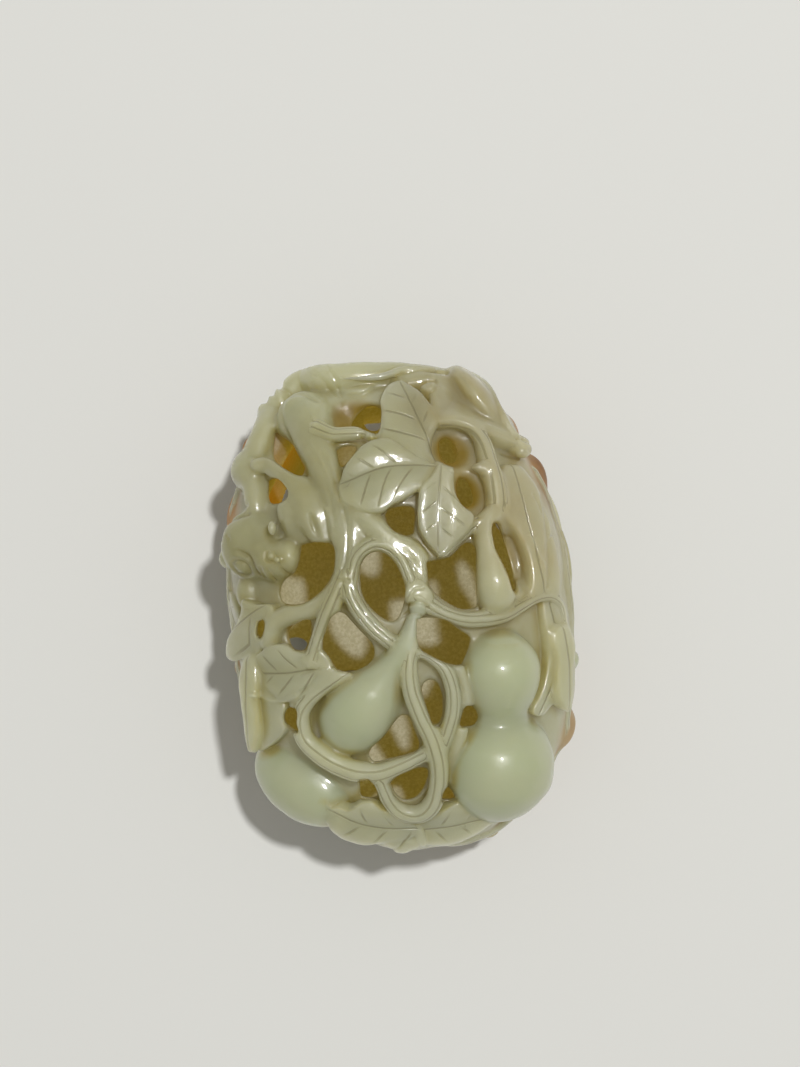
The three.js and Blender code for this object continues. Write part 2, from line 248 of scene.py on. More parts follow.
def around(piece, corners):
    # The part of the grid by the skin round some corners, and the two coordinates along the skin of each
    # point's foot: X and Y, or on a flank the turn times the pitch and the height.
    points, _ = place(piece, corners)
    where, _ = near(points.min(0) - skinBand[0], points.max(0) + skinBand[1])
    if "flank" in piece:
        leaning = footX[where] + egg["lean"] * footY[where]
        turn = np.degrees(np.arctan2(footY[where] / egg["halfHeight"], leaning / egg["halfWidth"]))
        middle = np.mean([c[0] for c in corners])
        turn = middle + (turn - middle + 180) % 360 - 180
        return where, turn * flankPitch, footZ[where]
    return where, footX[where], footY[where]


def flat(piece, corners):
    # Corners in the same two coordinates.
    scale = (flankPitch, 1) if "flank" in piece else (1, 1)
    return np.asarray(corners, float) * scale


def alongLine(u, v, line):
    # For each place: millimetres along a line, to its right and away from it, and the line's length.
    away = np.full(u.shape, 1e6, np.float32)
    along, aside = np.zeros(u.shape, np.float32), np.zeros(u.shape, np.float32)
    run = 0.0
    for (au, av), (bu, bv) in zip(line[:-1], line[1:]):
        length = math.hypot(bu - au, bv - av)
        du, dv = (bu - au) / length, (bv - av) / length
        t = np.clip((u - au) * du + (v - av) * dv, 0, length)
        wu, wv = u - au - t * du, v - av - t * dv
        square = wu * wu + wv * wv
        closer = square < away
        away = np.where(closer, square, away)
        along = np.where(closer, run + t, along)
        aside = np.where(closer, wu * dv - wv * du, aside)
        run += length
    return along, aside, np.sqrt(away), run


def outlineDistance(u, v, corners):
    # Distance to a closed outline, negative inside, where a ray crosses it an odd number of times.
    best = np.full(np.broadcast(u, v).shape, 1e6, np.float32)
    inside = np.zeros(best.shape, bool)
    for (au, av), (bu, bv) in zip(corners, np.roll(corners, -1, 0)):
        eu, ev = bu - au, bv - av
        t = np.clip(((u - au) * eu + (v - av) * ev) / (eu * eu + ev * ev), 0, 1)
        best = np.minimum(best, (u - au - eu * t) ** 2 + (v - av - ev * t) ** 2)
        inside ^= ((av > v) != (bv > v)) & (u < eu * (v - av) / (ev + 1e-12) + au)
    return np.where(inside, -1, 1) * np.sqrt(best)


# How far round its own surface a piece's marks reach.
marks = {
    "over": 0.12,  # over what is carved already
    "bowl": 0.8,
    "russet": 3.6,
}
x, y, z = (a.reshape([-1 if i == n else 1 for i in range(3)]) for n, a in enumerate(axes))
skin, out = eggLevel(x, y, z)
footX, footY, footZ = ((c - skin * o).astype(np.float32) for c, o in zip((x, y, z), out))
del out
stone = skin + egg["ground"]
inner = eggLevel(x, y, z, egg["sideWall"], egg["frontWall"], egg["backWall"])[0]
stone = clip(stone, -inner, egg["wallBlend"])
del inner
dice = np.random.default_rng(egg["seed"])
# What the finish of each place needs: is it gourd, where the midrib, side veins and grooves run and how
# far they are allowed, is it russet, and is it a soft bowl.
traits = {name: np.zeros(stone.shape, np.float32)
          for name in ("gourd", "ribSide", "ribbed", "veinAt", "veined", "barSide", "grooved",
                       "russet", "bowl")}
print("egg roughed out on a grid of", stone.shape)

# Rounded masses of the squirrels and of the outline: middle, half sizes across, along and out, turn in
# degrees, height over the egg, and how much russet skin is left on them.
lumps = {
    "headLeft": {"at": (-19.6, 8.6), "half": (4.8, 4.8, 4.3), "turn": 0, "over": -1.8, "blend": 0.8},
    "muzzleLeft": {"at": (-16.5, 6.6), "half": (3.2, 2.5, 2.8), "turn": -25, "over": -0.8, "blend": 1.4},
    "chinLeft": {"at": (-14.5, 7.2), "half": (1.4, 1.9, 2.2), "turn": 10, "over": -0.7, "blend": 1.2},
    "noseLeft": {"at": (-15.4, 7.1), "half": (0.5, 0.6, 0.5), "turn": 20, "over": 1.8, "blend": 0.3},
    "noseTip": {"at": (-14.7, 6.6), "half": (0.4, 0.5, 0.5), "turn": 20, "over": 1.7, "blend": 0.3},
    "eyeLeft": {"at": (-15.6, 10.5), "half": (0.6, 0.9, 0.8), "turn": 3, "over": 1.3, "blend": 0.3},
    "pawLeft": {"at": (-19.5, 5.7), "half": (0.8, 0.8, 1.0), "turn": 0, "over": 0.8, "blend": 0.4},
    "shoulderLeft": {"at": (-20, 18.4), "half": (2.9, 2.9, 3.4), "turn": -20, "over": -1.0, "blend": 0.9},
    "haunchLeft": {"at": (-13.6, 26), "half": (3.4, 3.5, 2.4), "turn": 0, "over": -1.9, "blend": 1.4},
    "earTip": {"at": (-17.5, 18.5), "half": (1.5, 1, 1.4), "turn": -10, "over": 0.5, "blend": 0.3},
    "thighLeft": {"at": (-13.1, 12.5), "half": (2.8, 3.8, 1.9), "turn": 20, "over": -0.8, "blend": 0.9},
    "snoutTop": {"at": (1.9, 29.4), "half": (3.3, 1.4, 1.5), "turn": 5, "over": 0.0, "blend": 0.5},
    "eyeTop": {"at": (3.2, 27.9), "half": (1, 0.8, 0.8), "turn": -10, "over": 0.7, "blend": 0.25},
    "footTop": {"at": (15.1, 20.9), "half": (1.6, 1.3, 1.8), "turn": -20, "over": 0.2, "blend": 0.5},
    "fingerTip": {"at": (-3.8, 21.9), "half": (0.8, 0.6, 1.0), "turn": 0, "over": 0.7, "blend": 0.25},
    "edgeUpperLeft": {"at": (139, 14), "half": (2.4, 2.2, 3.6), "over": -1.2, "blend": 1.5, "flank": True,
                      "stained": 1},
    "edgeLeft": {"at": (158, 13), "half": (3.0, 4.4, 5.0), "over": -2.2, "blend": 1.5, "flank": True,
                 "stained": 1},
    "edgeLowerLeft": {"at": (178, 14), "half": (1.5, 1.1, 2.0), "over": -1.3, "blend": 1.5, "flank": True,
                      "stained": 1},
    "edgeTopRight": {"at": (46, 13), "half": (3.0, 3.8, 4.4), "over": -2.3, "blend": 1.5, "flank": True,
                     "stained": 1},
    "edgeUpperRight": {"at": (32, 13), "half": (2.8, 4.2, 4.8), "over": -2.0, "blend": 1.5, "flank": True,
                       "stained": 1},
    "edgeLowerRight": {"at": (-29, 14), "half": (3.0, 3.4, 3.6), "over": -1.8, "blend": 1.5,
                       "flank": True, "stained": 0.7},
    "edgeBottomRight": {"at": (-61, 13), "half": (3.4, 2.0, 3.4), "over": -2.0, "blend": 1.5,
                        "flank": True, "stained": 0.7},
    "edgeFoldLeft": {"at": (194, 14), "half": (1.3, 1.5, 2.0), "over": -0.9, "blend": 1.5, "flank": True,
                     "stained": 1},
    "cornerTopRight": {"at": (57, 19), "half": (6.2, 2.2, 6.5), "turn": -53, "over": -0.9, "blend": 2.4,
                       "flank": True},
    "crotch": {"at": (-5, 10.1), "half": (1.6, 1.6, 1.3), "turn": 0, "over": -0.5, "blend": 0.9},
    "eyeSeat": {"at": (4.3, 27.6), "half": (2, 1.8, 1.5), "turn": 0, "over": -0.4, "blend": 0.9},
    "belowHead": {"at": (-20.4, 2.4), "half": (1.8, 2.5, 1.8), "turn": 0, "over": -1.2, "blend": 0.6},
}


def carveLump(piece, cut=False):
    # An ellipsoid: its radius scaled to one at the surface, less one, over its own slope.
    point, _ = place(piece, [piece["at"]], piece["over"])
    a, b, c = piece["half"]
    reach = max(a, b, c) + marks["russet"]
    where, (x, y, z) = near(point[0] - reach, point[0] + reach)
    turn = math.radians(piece.get("turn", 0))
    dx, dy, dz = x - point[0][0], y - point[0][1], z - point[0][2]
    u = (dx * math.cos(turn) + dy * math.sin(turn)) / a
    v = (dy * math.cos(turn) - dx * math.sin(turn)) / b
    w = dz / c
    radius = np.sqrt(u * u + v * v + w * w) + 1e-6
    slope = np.sqrt((u / a) ** 2 + (v / b) ** 2 + (w / c) ** 2) / radius + 1e-6
    distance = (radius - 1) / slope
    if cut:
        cutAway(where, distance, piece["blend"])
        wall = np.clip(1 - np.abs(distance) / marks["bowl"], 0, 1)
        traits["bowl"][where] = np.maximum(traits["bowl"][where], wall)
    else:
        claim(where, distance)
        join(where, distance, piece["blend"])
        stained = piece.get("stained", 0) * np.clip(1 - distance / marks["russet"], 0, 1)
        traits["russet"][where] = np.maximum(traits["russet"][where], stained)


# Vine stems and limbs: middle line, half widths along it, height of the middle over the egg,
# how much flatter than round, and the depth of the twin grooves along it.
stemGroove = {"at": 0.4, "halfWidth": 0.19}  # each groove's place as a share of the stem's half width
stems = {
    "topRim": {"path": [(-17.2, 25.8), (-14.9, 28.1), (-12.6, 29.8), (-8, 30.2), (-3.8, 30.6),
                        (0.4, 30.9), (4.4, 30.6), (7.6, 29.7)], "half": [1.5, 1.9, 2, 1.8, 1.5],
               "over": [0.1, 0.0, -0.2, -0.6, -0.4], "blend": 0.9},
    "innerRim": {"path": [(-7.7, 29.2), (-5, 29.2), (-2.2, 29.4), (0.3, 30.1), (3.8, 30)],
                 "half": [0.1, 0.4, 0.5, 0.6, 0.6], "over": [0.9, 1.1, 1.2], "blend": 0.25},
    "bodyStrip": {"path": [(-15.3, 28), (-17.1, 26.1), (-18, 23.3), (-18.9, 20.9), (-19.5, 18.8)],
                  "half": [1.5, 1.8, 1.9, 2, 2], "over": -0.3, "flat": 1.3, "blend": 0.5},
    "trunk": {"path": [(-12.6, 25.3), (-11.3, 21.5), (-9.8, 18.1), (-8.6, 14.3), (-7.7, 10.5),
                       (-7.3, 7.2), (-7.2, 4.2)], "half": [3.2, 2.6, 2.3, 1.8, 1.4, 1.1, 1.1],
              "over": [-1.4, -0.6, 0.2, 0.5], "flat": 1.4, "blend": 0.9},
    "trunkSheet": {"path": [(-7.3, 14.4), (-6.7, 11.6), (-6.6, 8.5), (-7, 6), (-7.1, 4.2)],
                   "half": [1.5, 1.9, 1.8, 1.5], "over": 0.25, "flat": 2.2, "blend": 0.9},
    "trunkTwin": {"path": [(-6.9, 14.1), (-6.1, 11.9), (-6, 9.1), (-6.3, 6.4), (-6.8, 4.2)],
                  "half": [0.8, 0.9, 0.9], "over": 0.3},
    "forkLeft": {"path": [(-7.1, 4.6), (-8.1, 1.9), (-9.3, -1.1), (-10.4, -4.3), (-10.9, -6.1)],
                 "half": [1, 1.3, 1.1, 1], "over": 0.7, "grooves": 0.15, "blend": 0.5},
    "forkRight": {"path": [(-6.7, 4.6), (-6.1, 2.4), (-5, 0.3), (-3.3, -1.8), (-1.6, -3.3)],
                  "half": [1, 1.1, 1.1, 1], "over": 0.7, "grooves": 0.15, "blend": 0.5},
    "arch": {"path": [(-6.3, 2.2), (-5.9, 5), (-5.3, 7.1), (-3.5, 8.5), (-1.6, 8.2), (0, 6.9), (1.1, 4.5),
                      (2, 1.9)], "half": [0.8, 0.9, 1, 1.1, 1.1, 1.1], "over": [0.7, 0.6, 0.4, 0.6],
             "grooves": 0.11, "blend": 0.5},
    "underLeaf": {"path": [(-7.4, 14.4), (-4.6, 12), (-1.9, 9.7), (0.5, 8.3), (2.2, 6.7), (2.5, 4.4),
                           (2, 1.9)], "half": [1.5, 1.5, 1.5, 1.3, 1.1], "over": 0.0},
    "leftBranch": {"path": [(-7.7, 3.9), (-9.2, 2), (-11.4, 0.5), (-14, -0.2), (-16, -1.5),
                            (-16.7, -3.8)], "half": [1.3, 1.4, 1.4, 1.3, 1.3], "over": 0.0},
    "crossing": {"path": [(1.3, 2.4), (3.3, 1.2), (5.3, 0), (7.7, -0.7), (10.2, -0.7), (12.7, -0.3),
                          (14.7, 0.8), (16.6, 1.8), (18.4, 2), (19.9, 1), (20.5, -1.2), (20.8, -3.7)],
                 "half": [1.1, 1, 1, 1.1, 1, 0.8, 0.6, 0.6, 0.6], "over": [0.9, 0.8, 0.4, 0.6, 0.4],
                 "grooves": 0.14, "blend": 0.5},
    "node": {"path": [(0.8, 2.4), (2, 2.9), (3, 2.4)], "half": [1, 1.1, 1], "over": 1.0, "blend": 0.5},
    "bigLoop": {"path": [(-6.8, -7.2), (-8.6, -8.5), (-10.9, -10.3), (-12.1, -12.1), (-12.2, -14),
                         (-11.5, -15.9), (-9.9, -17.3), (-7.7, -18.7), (-5.3, -19.5), (-2.6, -19.6),
                         (0.1, -18.6), (2.9, -17.3)], "half": [0.8, 1.1, 1.4, 1.4, 1.1],
                "over": [0.4, 1.0, 1.2, 1.0], "grooves": 0.05, "blend": 0.5},
    "tendril": {"path": [(2.3, -2.7), (1.1, -5.7), (1.2, -8.9), (2.3, -12.1), (3.8, -15.3), (4.6, -18.4),
                         (4.6, -21.2), (4, -23.5), (2.4, -24.9), (0.4, -24.8), (-1.2, -23.5),
                         (-2.2, -21.4), (-2.9, -19.6)], "half": [0.8, 1.1, 1.3, 1.3, 1.3, 1.1, 1],
                "over": [0.9, 1.3, 1.3, 1.1], "grooves": 0.06, "blend": 0.5},
    "tendrilRight": {"path": [(1.8, -4.5), (3.5, -5.1), (5.2, -6.6), (6.2, -9.2), (6.3, -12),
                              (5.7, -14.4), (4.8, -17)], "half": [0.8, 0.9, 1, 1],
                     "over": [0.8, 1.0, 0.8], "grooves": 0.05, "blend": 0.5},
    "tendrilOuter": {"path": [(2.9, -3.8), (5.6, -5.3), (7.5, -7.6), (8.1, -10.9), (7.6, -14.2),
                              (6.4, -18), (5.7, -20.6)], "half": [0.6, 0.8, 0.9, 1, 0.8], "over": 0.2},
    "leafFrame": {"path": [(4.9, 23.6), (6.9, 23.6), (8.8, 22.8), (10.1, 21), (10.9, 18.4), (11.5, 15.6),
                           (11.7, 13.1), (11.1, 10.9)], "half": [0.8, 1, 1.3, 1.4, 1.6, 1.5, 1.1],
                  "over": [0.5, 0.4, 0.1], "grooves": 0.13, "blend": 0.5},
    "petiole": {"path": [(4.8, 18.5), (6.8, 18.1), (8.5, 18), (10.7, 18)], "half": [0.9, 0.9, 1],
                "over": 0.7},
    "lowLobeRidge": {"path": [(5.1, 7.6), (6.7, 9.1), (8.6, 10.9), (10.3, 11.6)], "half": [0.8, 0.9, 1],
                     "over": 0.4, "grooves": 0.15, "blend": 0.5},
    "topRightStalk": {"path": [(5.1, 24.2), (8.2, 23.9), (11.2, 22.9), (13.8, 21.8), (15.4, 21)],
                      "half": [0.6, 0.8, 0.9, 1, 1.1], "over": [0.3, 0.3, 0.5], "grooves": 0.1,
                      "blend": 0.5},
    "arm": {"path": [(-10.4, 23.2), (-8.4, 22.4), (-6.2, 22.4), (-4.4, 22.4), (-3.7, 21.9)],
            "half": [1.1, 0.9, 0.9, 0.8], "over": [0.3, 0.6], "grooves": 0.13, "blend": 0.5},
    "earFold": {"path": [(-18.7, 18.6), (-16.9, 18.7), (-14.9, 17.5), (-13.2, 15.7), (-11.8, 13.7),
                         (-10.8, 11.4), (-10.1, 9.4)], "half": [0.9, 1.1, 1.4, 1.9, 2.4, 2.3, 1.5],
                "over": [0.6, 0.5, 0.0, -0.2], "flat": 1.5, "blend": 0.5},
    "neck": {"path": [(-19.2, 16.7), (-19, 15.1), (-18.9, 13.7)], "half": [1.6, 1.5, 1.4], "over": -0.4,
             "blend": 0.9},
    "twigLeft": {"path": [(-11.1, -5.9), (-9.4, -6.9), (-7.6, -7.4)], "half": [1.3, 1.1, 0.9],
                 "over": 0.2},
    "tuckLeft": {"path": [(-13.2, -11.8), (-12.7, -13.1)], "half": [1, 1], "over": 0.2},
    "vineRight": {"path": [(-66, 13), (-45, 8.5), (-20, 12), (0, 8.5), (22, 12), (45, 9), (62, 13)],
                  "half": [1.0, 1.2, 1.1], "over": 0.1, "grooves": 0.11, "flank": True},
    "vineLeft": {"path": [(118, 13), (135, 9), (158, 12), (180, 8), (203, 12), (225, 9), (245, 13)],
                 "half": [1.0, 1.2, 1.1], "over": 0.1, "grooves": 0.11, "flank": True},
    "vineTop": {"path": [(62, 13), (76, 10), (90, 9.5), (104, 10), (118, 13)], "half": [1.1, 1.2],
                "over": 0.1, "grooves": 0.11, "flank": True},
    "vineBottom": {"path": [(245, 13), (258, 10), (270, 9), (282, 10), (294, 13)], "half": [1.1, 1.2],
                   "over": 0.1, "grooves": 0.11, "flank": True},
    "bandRight": {"path": [(-48, 19), (-36, 15.5), (-22, 18.5), (-8, 15.5), (6, 19), (20, 16), (34, 19)],
                  "half": [0.8, 1.0, 1.0, 0.8], "over": -1.2, "grooves": 0.1, "flank": True},
    "bandLeft": {"path": [(150, 19), (163, 15.5), (176, 18), (190, 15), (204, 18.5), (218, 16)],
                 "half": [0.8, 1.0, 1.0, 0.8], "over": -1.2, "grooves": 0.1, "flank": True},
    "bandBottom": {"path": [(238, 18), (250, 15), (263, 18.5), (277, 15.5), (290, 18.5), (303, 16)],
                   "half": [0.8, 1.0, 1.0, 0.8], "over": -1.2, "grooves": 0.1, "flank": True},
    "bandTop": {"path": [(64, 19), (76, 16), (90, 18.5), (103, 15.5), (116, 18.5)],
                "half": [0.8, 1.0, 1.0, 0.8], "over": -1.2, "grooves": 0.1, "flank": True},
    "backVine": {"path": [(-11, -22), (-6.5, -11.2), (0.5, -8.4), (7.7, -8.8), (10.2, -3), (9.8, 2),
                          (6, 7), (0, 10.4), (-2.5, 15), (-1.5, 20.5)], "half": [0.9, 1.2, 1.2, 1.0],
                 "over": 0.1, "grooves": 0.11, "side": -1},
    "backCurl": {"path": [(7.7, -8.8), (3, -5.5), (-1.5, -4.5), (-4.5, -1.5), (-3, 2), (0.5, 2),
                          (1.2, -1)], "half": [1.0, 0.8, 0.7], "over": 0.0, "side": -1},
    "backRidgeA": {"path": [(7.4, 29.8), (9.2, 29), (10.6, 27.3), (11.7, 25), (13, 22.8), (14.4, 21.2)],
                   "half": [0.3, 0.4, 0.4, 0.4, 0.4], "over": [1.6, 1.8, 1.7, 1.4], "blend": 0.4},
    "backRidgeB": {"path": [(4.3, 30.3), (6.8, 29.8), (8.8, 28.3), (10.4, 26.4), (11.9, 24.1),
                            (13.2, 22.3)], "half": [0.3, 0.3, 0.3, 0.3], "over": [0.9, 0.8, 0.8, 0.9],
                   "blend": 0.5},
    "foldRidge": {"path": [(-17.8, -9.1), (-17.6, -10.9), (-17.2, -12.3), (-17.2, -14.6), (-17.5, -17.3)],
                  "half": [0.3, 0.4, 0.4, 0.3], "over": [1.9, 2.0, 1.7], "blend": 0.5},
    "linkLow": {"path": [(-5, -19.8), (-3.1, -20.4), (-1.6, -20.3)], "half": [1, 1, 0.9], "over": 0.8,
                "blend": 0.4},
}


def carveStem(piece):
    # A round bar along the path: distance to the path less the half width, where a flatter bar counts
    # its height more. Two grooves run along the top, each a bell across the bar.
    path = smoothPath(piece["path"], pathStep)
    lift = spread(piece["over"], np.linspace(0, 1, len(path)))
    points, ups = place(piece, path, lift)
    where, share, aside, over, away = followPath(points, ups, max(piece["half"]) + pathRoom)
    width = spread(piece["half"], share)
    bar = np.sqrt(away**2 + (piece.get("flat", 1.0) ** 2 - 1) * over**2) - width
    if "grooves" in piece:
        mark = np.exp(-(((np.abs(aside) - stemGroove["at"] * width) / stemGroove["halfWidth"]) ** 2))
        bar += piece["grooves"] * mark * np.clip(over + 0.3, 0, 1)
    claim(where, bar, barSide=aside / width, grooved=float("grooves" in piece) * (over > 0))
    join(where, bar, piece.get("blend", 0.6))


# How leaves are cut.
leafCut = {
    "valleyWidth": 1.3,
    "veinSlant": 0.8,  # how far a side vein runs towards the tip for each millimetre outward
    "veinTurn": 0.78,  # turns a distance along the midrib into one across such a vein
    "veinDepth": 0.05,
    "veinWidth": 0.22,
    "lineDepth": 0.16,
    "lineWidth": 0.19,
}
# Leaves: outline, midrib from stalk to tip, height over the egg, how much the middle is domed, how deep
# the valley along the midrib is, and how far apart the side veins or the lines beside the midrib are.
leaves = {
    "rightBig": {"outline": [(12.9, 18.8), (14.7, 18.9), (16, 18.1), (17, 16.4), (17.9, 14.4), (18.6, 12),
                             (19.2, 9.5), (19.6, 7), (20, 4.1), (19.5, 2.1), (17.7, 2.2), (15.7, 1.8),
                             (13.8, 1.6), (13.7, 3.4), (13.2, 6.5), (12.2, 9.6), (11.2, 12), (11.4, 14.5),
                             (11.9, 16.9)], "rib": [(17.5, 2), (16.7, 5.8), (15.4, 11.4), (13.9, 17.6)],
                 "over": [1.2, 1.0, 0.7], "dome": 0.5, "valley": 0.15, "round": 1.2, "blend": 0.8,
                 "thick": 2.6},
    "rightLow": {"outline": [(17.8, 1.9), (19.6, 1), (20.4, -0.6), (21.2, -3.7), (21.2, -8.8),
                             (20.5, -11.8), (19.2, -11.7), (17.8, -13.1), (16.6, -13), (16.6, -12),
                             (17.6, -10.3), (18.2, -8.3), (18.5, -6.1), (18.4, -3.6), (18, -1)],
                 "rib": [(18.6, 1.2), (19.6, -3.6), (19.1, -8.6), (17.5, -12.6)], "over": 0.7,
                 "dome": 0.2, "valley": 0.3, "lines": 1.6},
    "rightEdge": {"outline": [(18.6, -2.6), (19.1, -1.9), (20, -1.7), (20.8, -2.1), (21.3, -3.5),
                              (21.5, -6.3), (21.4, -10), (20.9, -12.6), (20.3, -12.6), (19.4, -11.4),
                              (19.1, -9.8), (19.1, -6.1), (18.6, -4.2)],
                  "rib": [(19.7, -2.1), (20.4, -6.8), (20.5, -11.9)], "over": 1.5, "dome": 0.3,
                  "valley": 0.25, "round": 0.7, "blend": 0.6},
    "topRight": {"outline": [(3.6, 29.3), (6, 29.6), (7.6, 29.4), (9.3, 28.4), (10.7, 26.7), (12.2, 24.9),
                             (13.6, 22.7), (14.2, 21.1), (12.6, 21.4), (10.7, 22.3), (8.6, 23),
                             (6.5, 23.5), (4.8, 23.5), (3.6, 25.3)],
                 "rib": [(4.1, 26.9), (8.1, 25.7), (13.4, 21.6)], "over": 1.9, "dome": -1.9,
                 "valley": 0.0, "domeWidth": 2.6, "thick": 3.4, "round": 1.4, "blend": 0.6},
    "farLeft": {"outline": [(-19.8, 1.6), (-18.1, 1), (-16.3, 1.1), (-15.6, 0.1), (-16.1, -1.4),
                            (-16.8, -3.4), (-17.3, -4.9), (-18.3, -6), (-19.9, -6.2), (-21.1, -6.4),
                            (-21.8, -5.7), (-21.6, -3.6), (-20.9, -1.9), (-20, -0.1)],
                "rib": [(-16.2, 1.2), (-18.1, 0.1), (-20.4, -1.8)], "over": 1.1, "dome": 0.2,
                "valley": 0.3, "veins": 2.8},
    "midLeft": {"outline": [(-16.4, -4.2), (-14.5, -3.9), (-12.5, -4.6), (-10.8, -5.1), (-9.6, -4.5),
                            (-8.4, -5.4), (-7.5, -7), (-8, -8.1), (-9.4, -9.4), (-11.1, -10.4),
                            (-12.8, -11.1), (-14.5, -11), (-15.9, -10.1), (-17.1, -9), (-18.2, -8.6),
                            (-18.6, -7.5), (-17.9, -5.7)],
                "rib": [(-7.7, -6.6), (-10.6, -6.9), (-14, -7.5), (-17.9, -7.7)], "over": 1.3,
                "dome": 0.3, "valley": 0.45, "veins": 2.6},
    "foldLeft": {"outline": [(-19.3, -5.8), (-18.6, -5.3), (-17.8, -5.3), (-17.4, -6.7), (-17, -8.6),
                             (-17, -10.6), (-16.8, -12.4), (-16.6, -14.9), (-17, -17), (-17.7, -17.3),
                             (-18.2, -15.6), (-18.6, -13.2), (-19, -10.7), (-19.5, -8.3)],
                 "rib": [(-18.4, -5.7), (-17.9, -11.3), (-17.4, -16.6)], "over": [1.9, 2.7, 3.0],
                 "dome": 0.4, "valley": 0.2, "veins": 2.6, "thick": 3.2, "round": 0.8, "blend": 0.5},
    "foldInner": {"outline": [(-18.2, -9.7), (-18.1, -8.8), (-17.3, -8.3), (-16.5, -8.6), (-15.7, -9.8),
                              (-14.5, -11.2), (-13.8, -12.3), (-14, -14.3), (-15.1, -16), (-16.8, -17.5),
                              (-17.8, -17.8), (-17.7, -15.4), (-17.8, -12.2)],
                  "rib": [(-17.5, -9.2), (-16, -12.7), (-17.3, -17.1)], "over": 0.9, "dome": 0.6,
                  "valley": 0.0},
    "lowLeft": {"outline": [(-9.1, -23.8), (-8.4, -24.3), (-7.6, -24.2), (-6.4, -24.5), (-5, -23.5),
                            (-3.6, -23.1), (-2.2, -24.1), (-0.3, -25.2), (1.7, -26.2), (3, -27.2),
                            (3.2, -28.9), (1.7, -29.4), (0.5, -29.9), (-0.8, -29.7), (-1.9, -29),
                            (-4, -29.1), (-5.7, -28.7), (-7.3, -28), (-8.5, -26.9), (-9.1, -25.4)],
                "rib": [(1.7, -26.8), (-1.5, -26.7), (-5.2, -26.1), (-8.6, -24.6)], "over": 1.8,
                "dome": 0.4, "valley": 0.6, "veins": 3.2},
    "lowRight": {"outline": [(1.7, -26.5), (3.6, -25.6), (5.7, -24.1), (7, -23.5), (8.4, -24.3),
                             (10.3, -25.2), (12.1, -25.2), (12, -26.4), (10.8, -26.9), (9.1, -27.9),
                             (7.3, -28.8), (5.3, -29.1), (3.7, -29.1), (2.4, -28.7)],
                 "rib": [(1.7, -27.2), (5.5, -26.7), (9, -26), (11.9, -25.6)], "over": 1.5, "dome": 0.4,
                 "valley": 0.5, "veins": 3.2},
    "lobeTop": {"outline": [(4.6, 18.5), (4.9, 21.1), (4.6, 23.5), (4, 25), (3.2, 26.3), (2.2, 27.5),
                            (1, 28.4), (-0.1, 29), (-1.2, 28.6), (-2.2, 27.5), (-2.8, 26), (-3, 23.6),
                            (-2.8, 21.1), (-0.2, 19.6), (2.2, 18.4)],
                "rib": [(4.4, 18.5), (3.2, 21.6), (1.6, 25), (-0.1, 28.5)], "over": 1.4, "dome": 0.3,
                "valley": 0.45, "veins": 2.9},
    "lobeLow": {"outline": [(4.5, 18.4), (3.4, 16.5), (2.2, 15.1), (2, 13.4), (1.9, 11.9), (2.2, 10.3),
                            (3.1, 8.9), (4.1, 7.8), (4.8, 7.1), (5.5, 7.7), (6.5, 8.6), (7.7, 9.8),
                            (8.5, 10.9), (8.8, 12.1), (8.5, 13.1), (7.7, 14), (7.1, 15.3), (6.9, 16.5),
                            (6.3, 17.8)], "rib": [(4.7, 18.1), (4.5, 14.9), (4.4, 11.9), (4.5, 7.9)],
                "over": [2.6, 2.0, 1.3], "dome": 0.3, "valley": 0.5, "veins": 2.5},
    "lobeLeft": {"outline": [(4.6, 18.3), (2.8, 18.8), (1.3, 19.5), (-0.2, 20.4), (-1.4, 21.1),
                             (-3.1, 21.2), (-4.7, 20.5), (-5.9, 19.3), (-6.8, 18.2), (-7.4, 16.6),
                             (-7.7, 15.1), (-7.2, 13.7), (-5.9, 12.9), (-4, 12.3), (-2.1, 12.4),
                             (-0.9, 13.3), (0.8, 14.2), (2.1, 15), (3.4, 16.1)],
                 "rib": [(4.3, 18), (1.3, 18.1), (-2.4, 17.7), (-6.6, 16.1)], "over": 1.8, "dome": 0.35,
                 "valley": 0.5, "veins": 2.7},
}
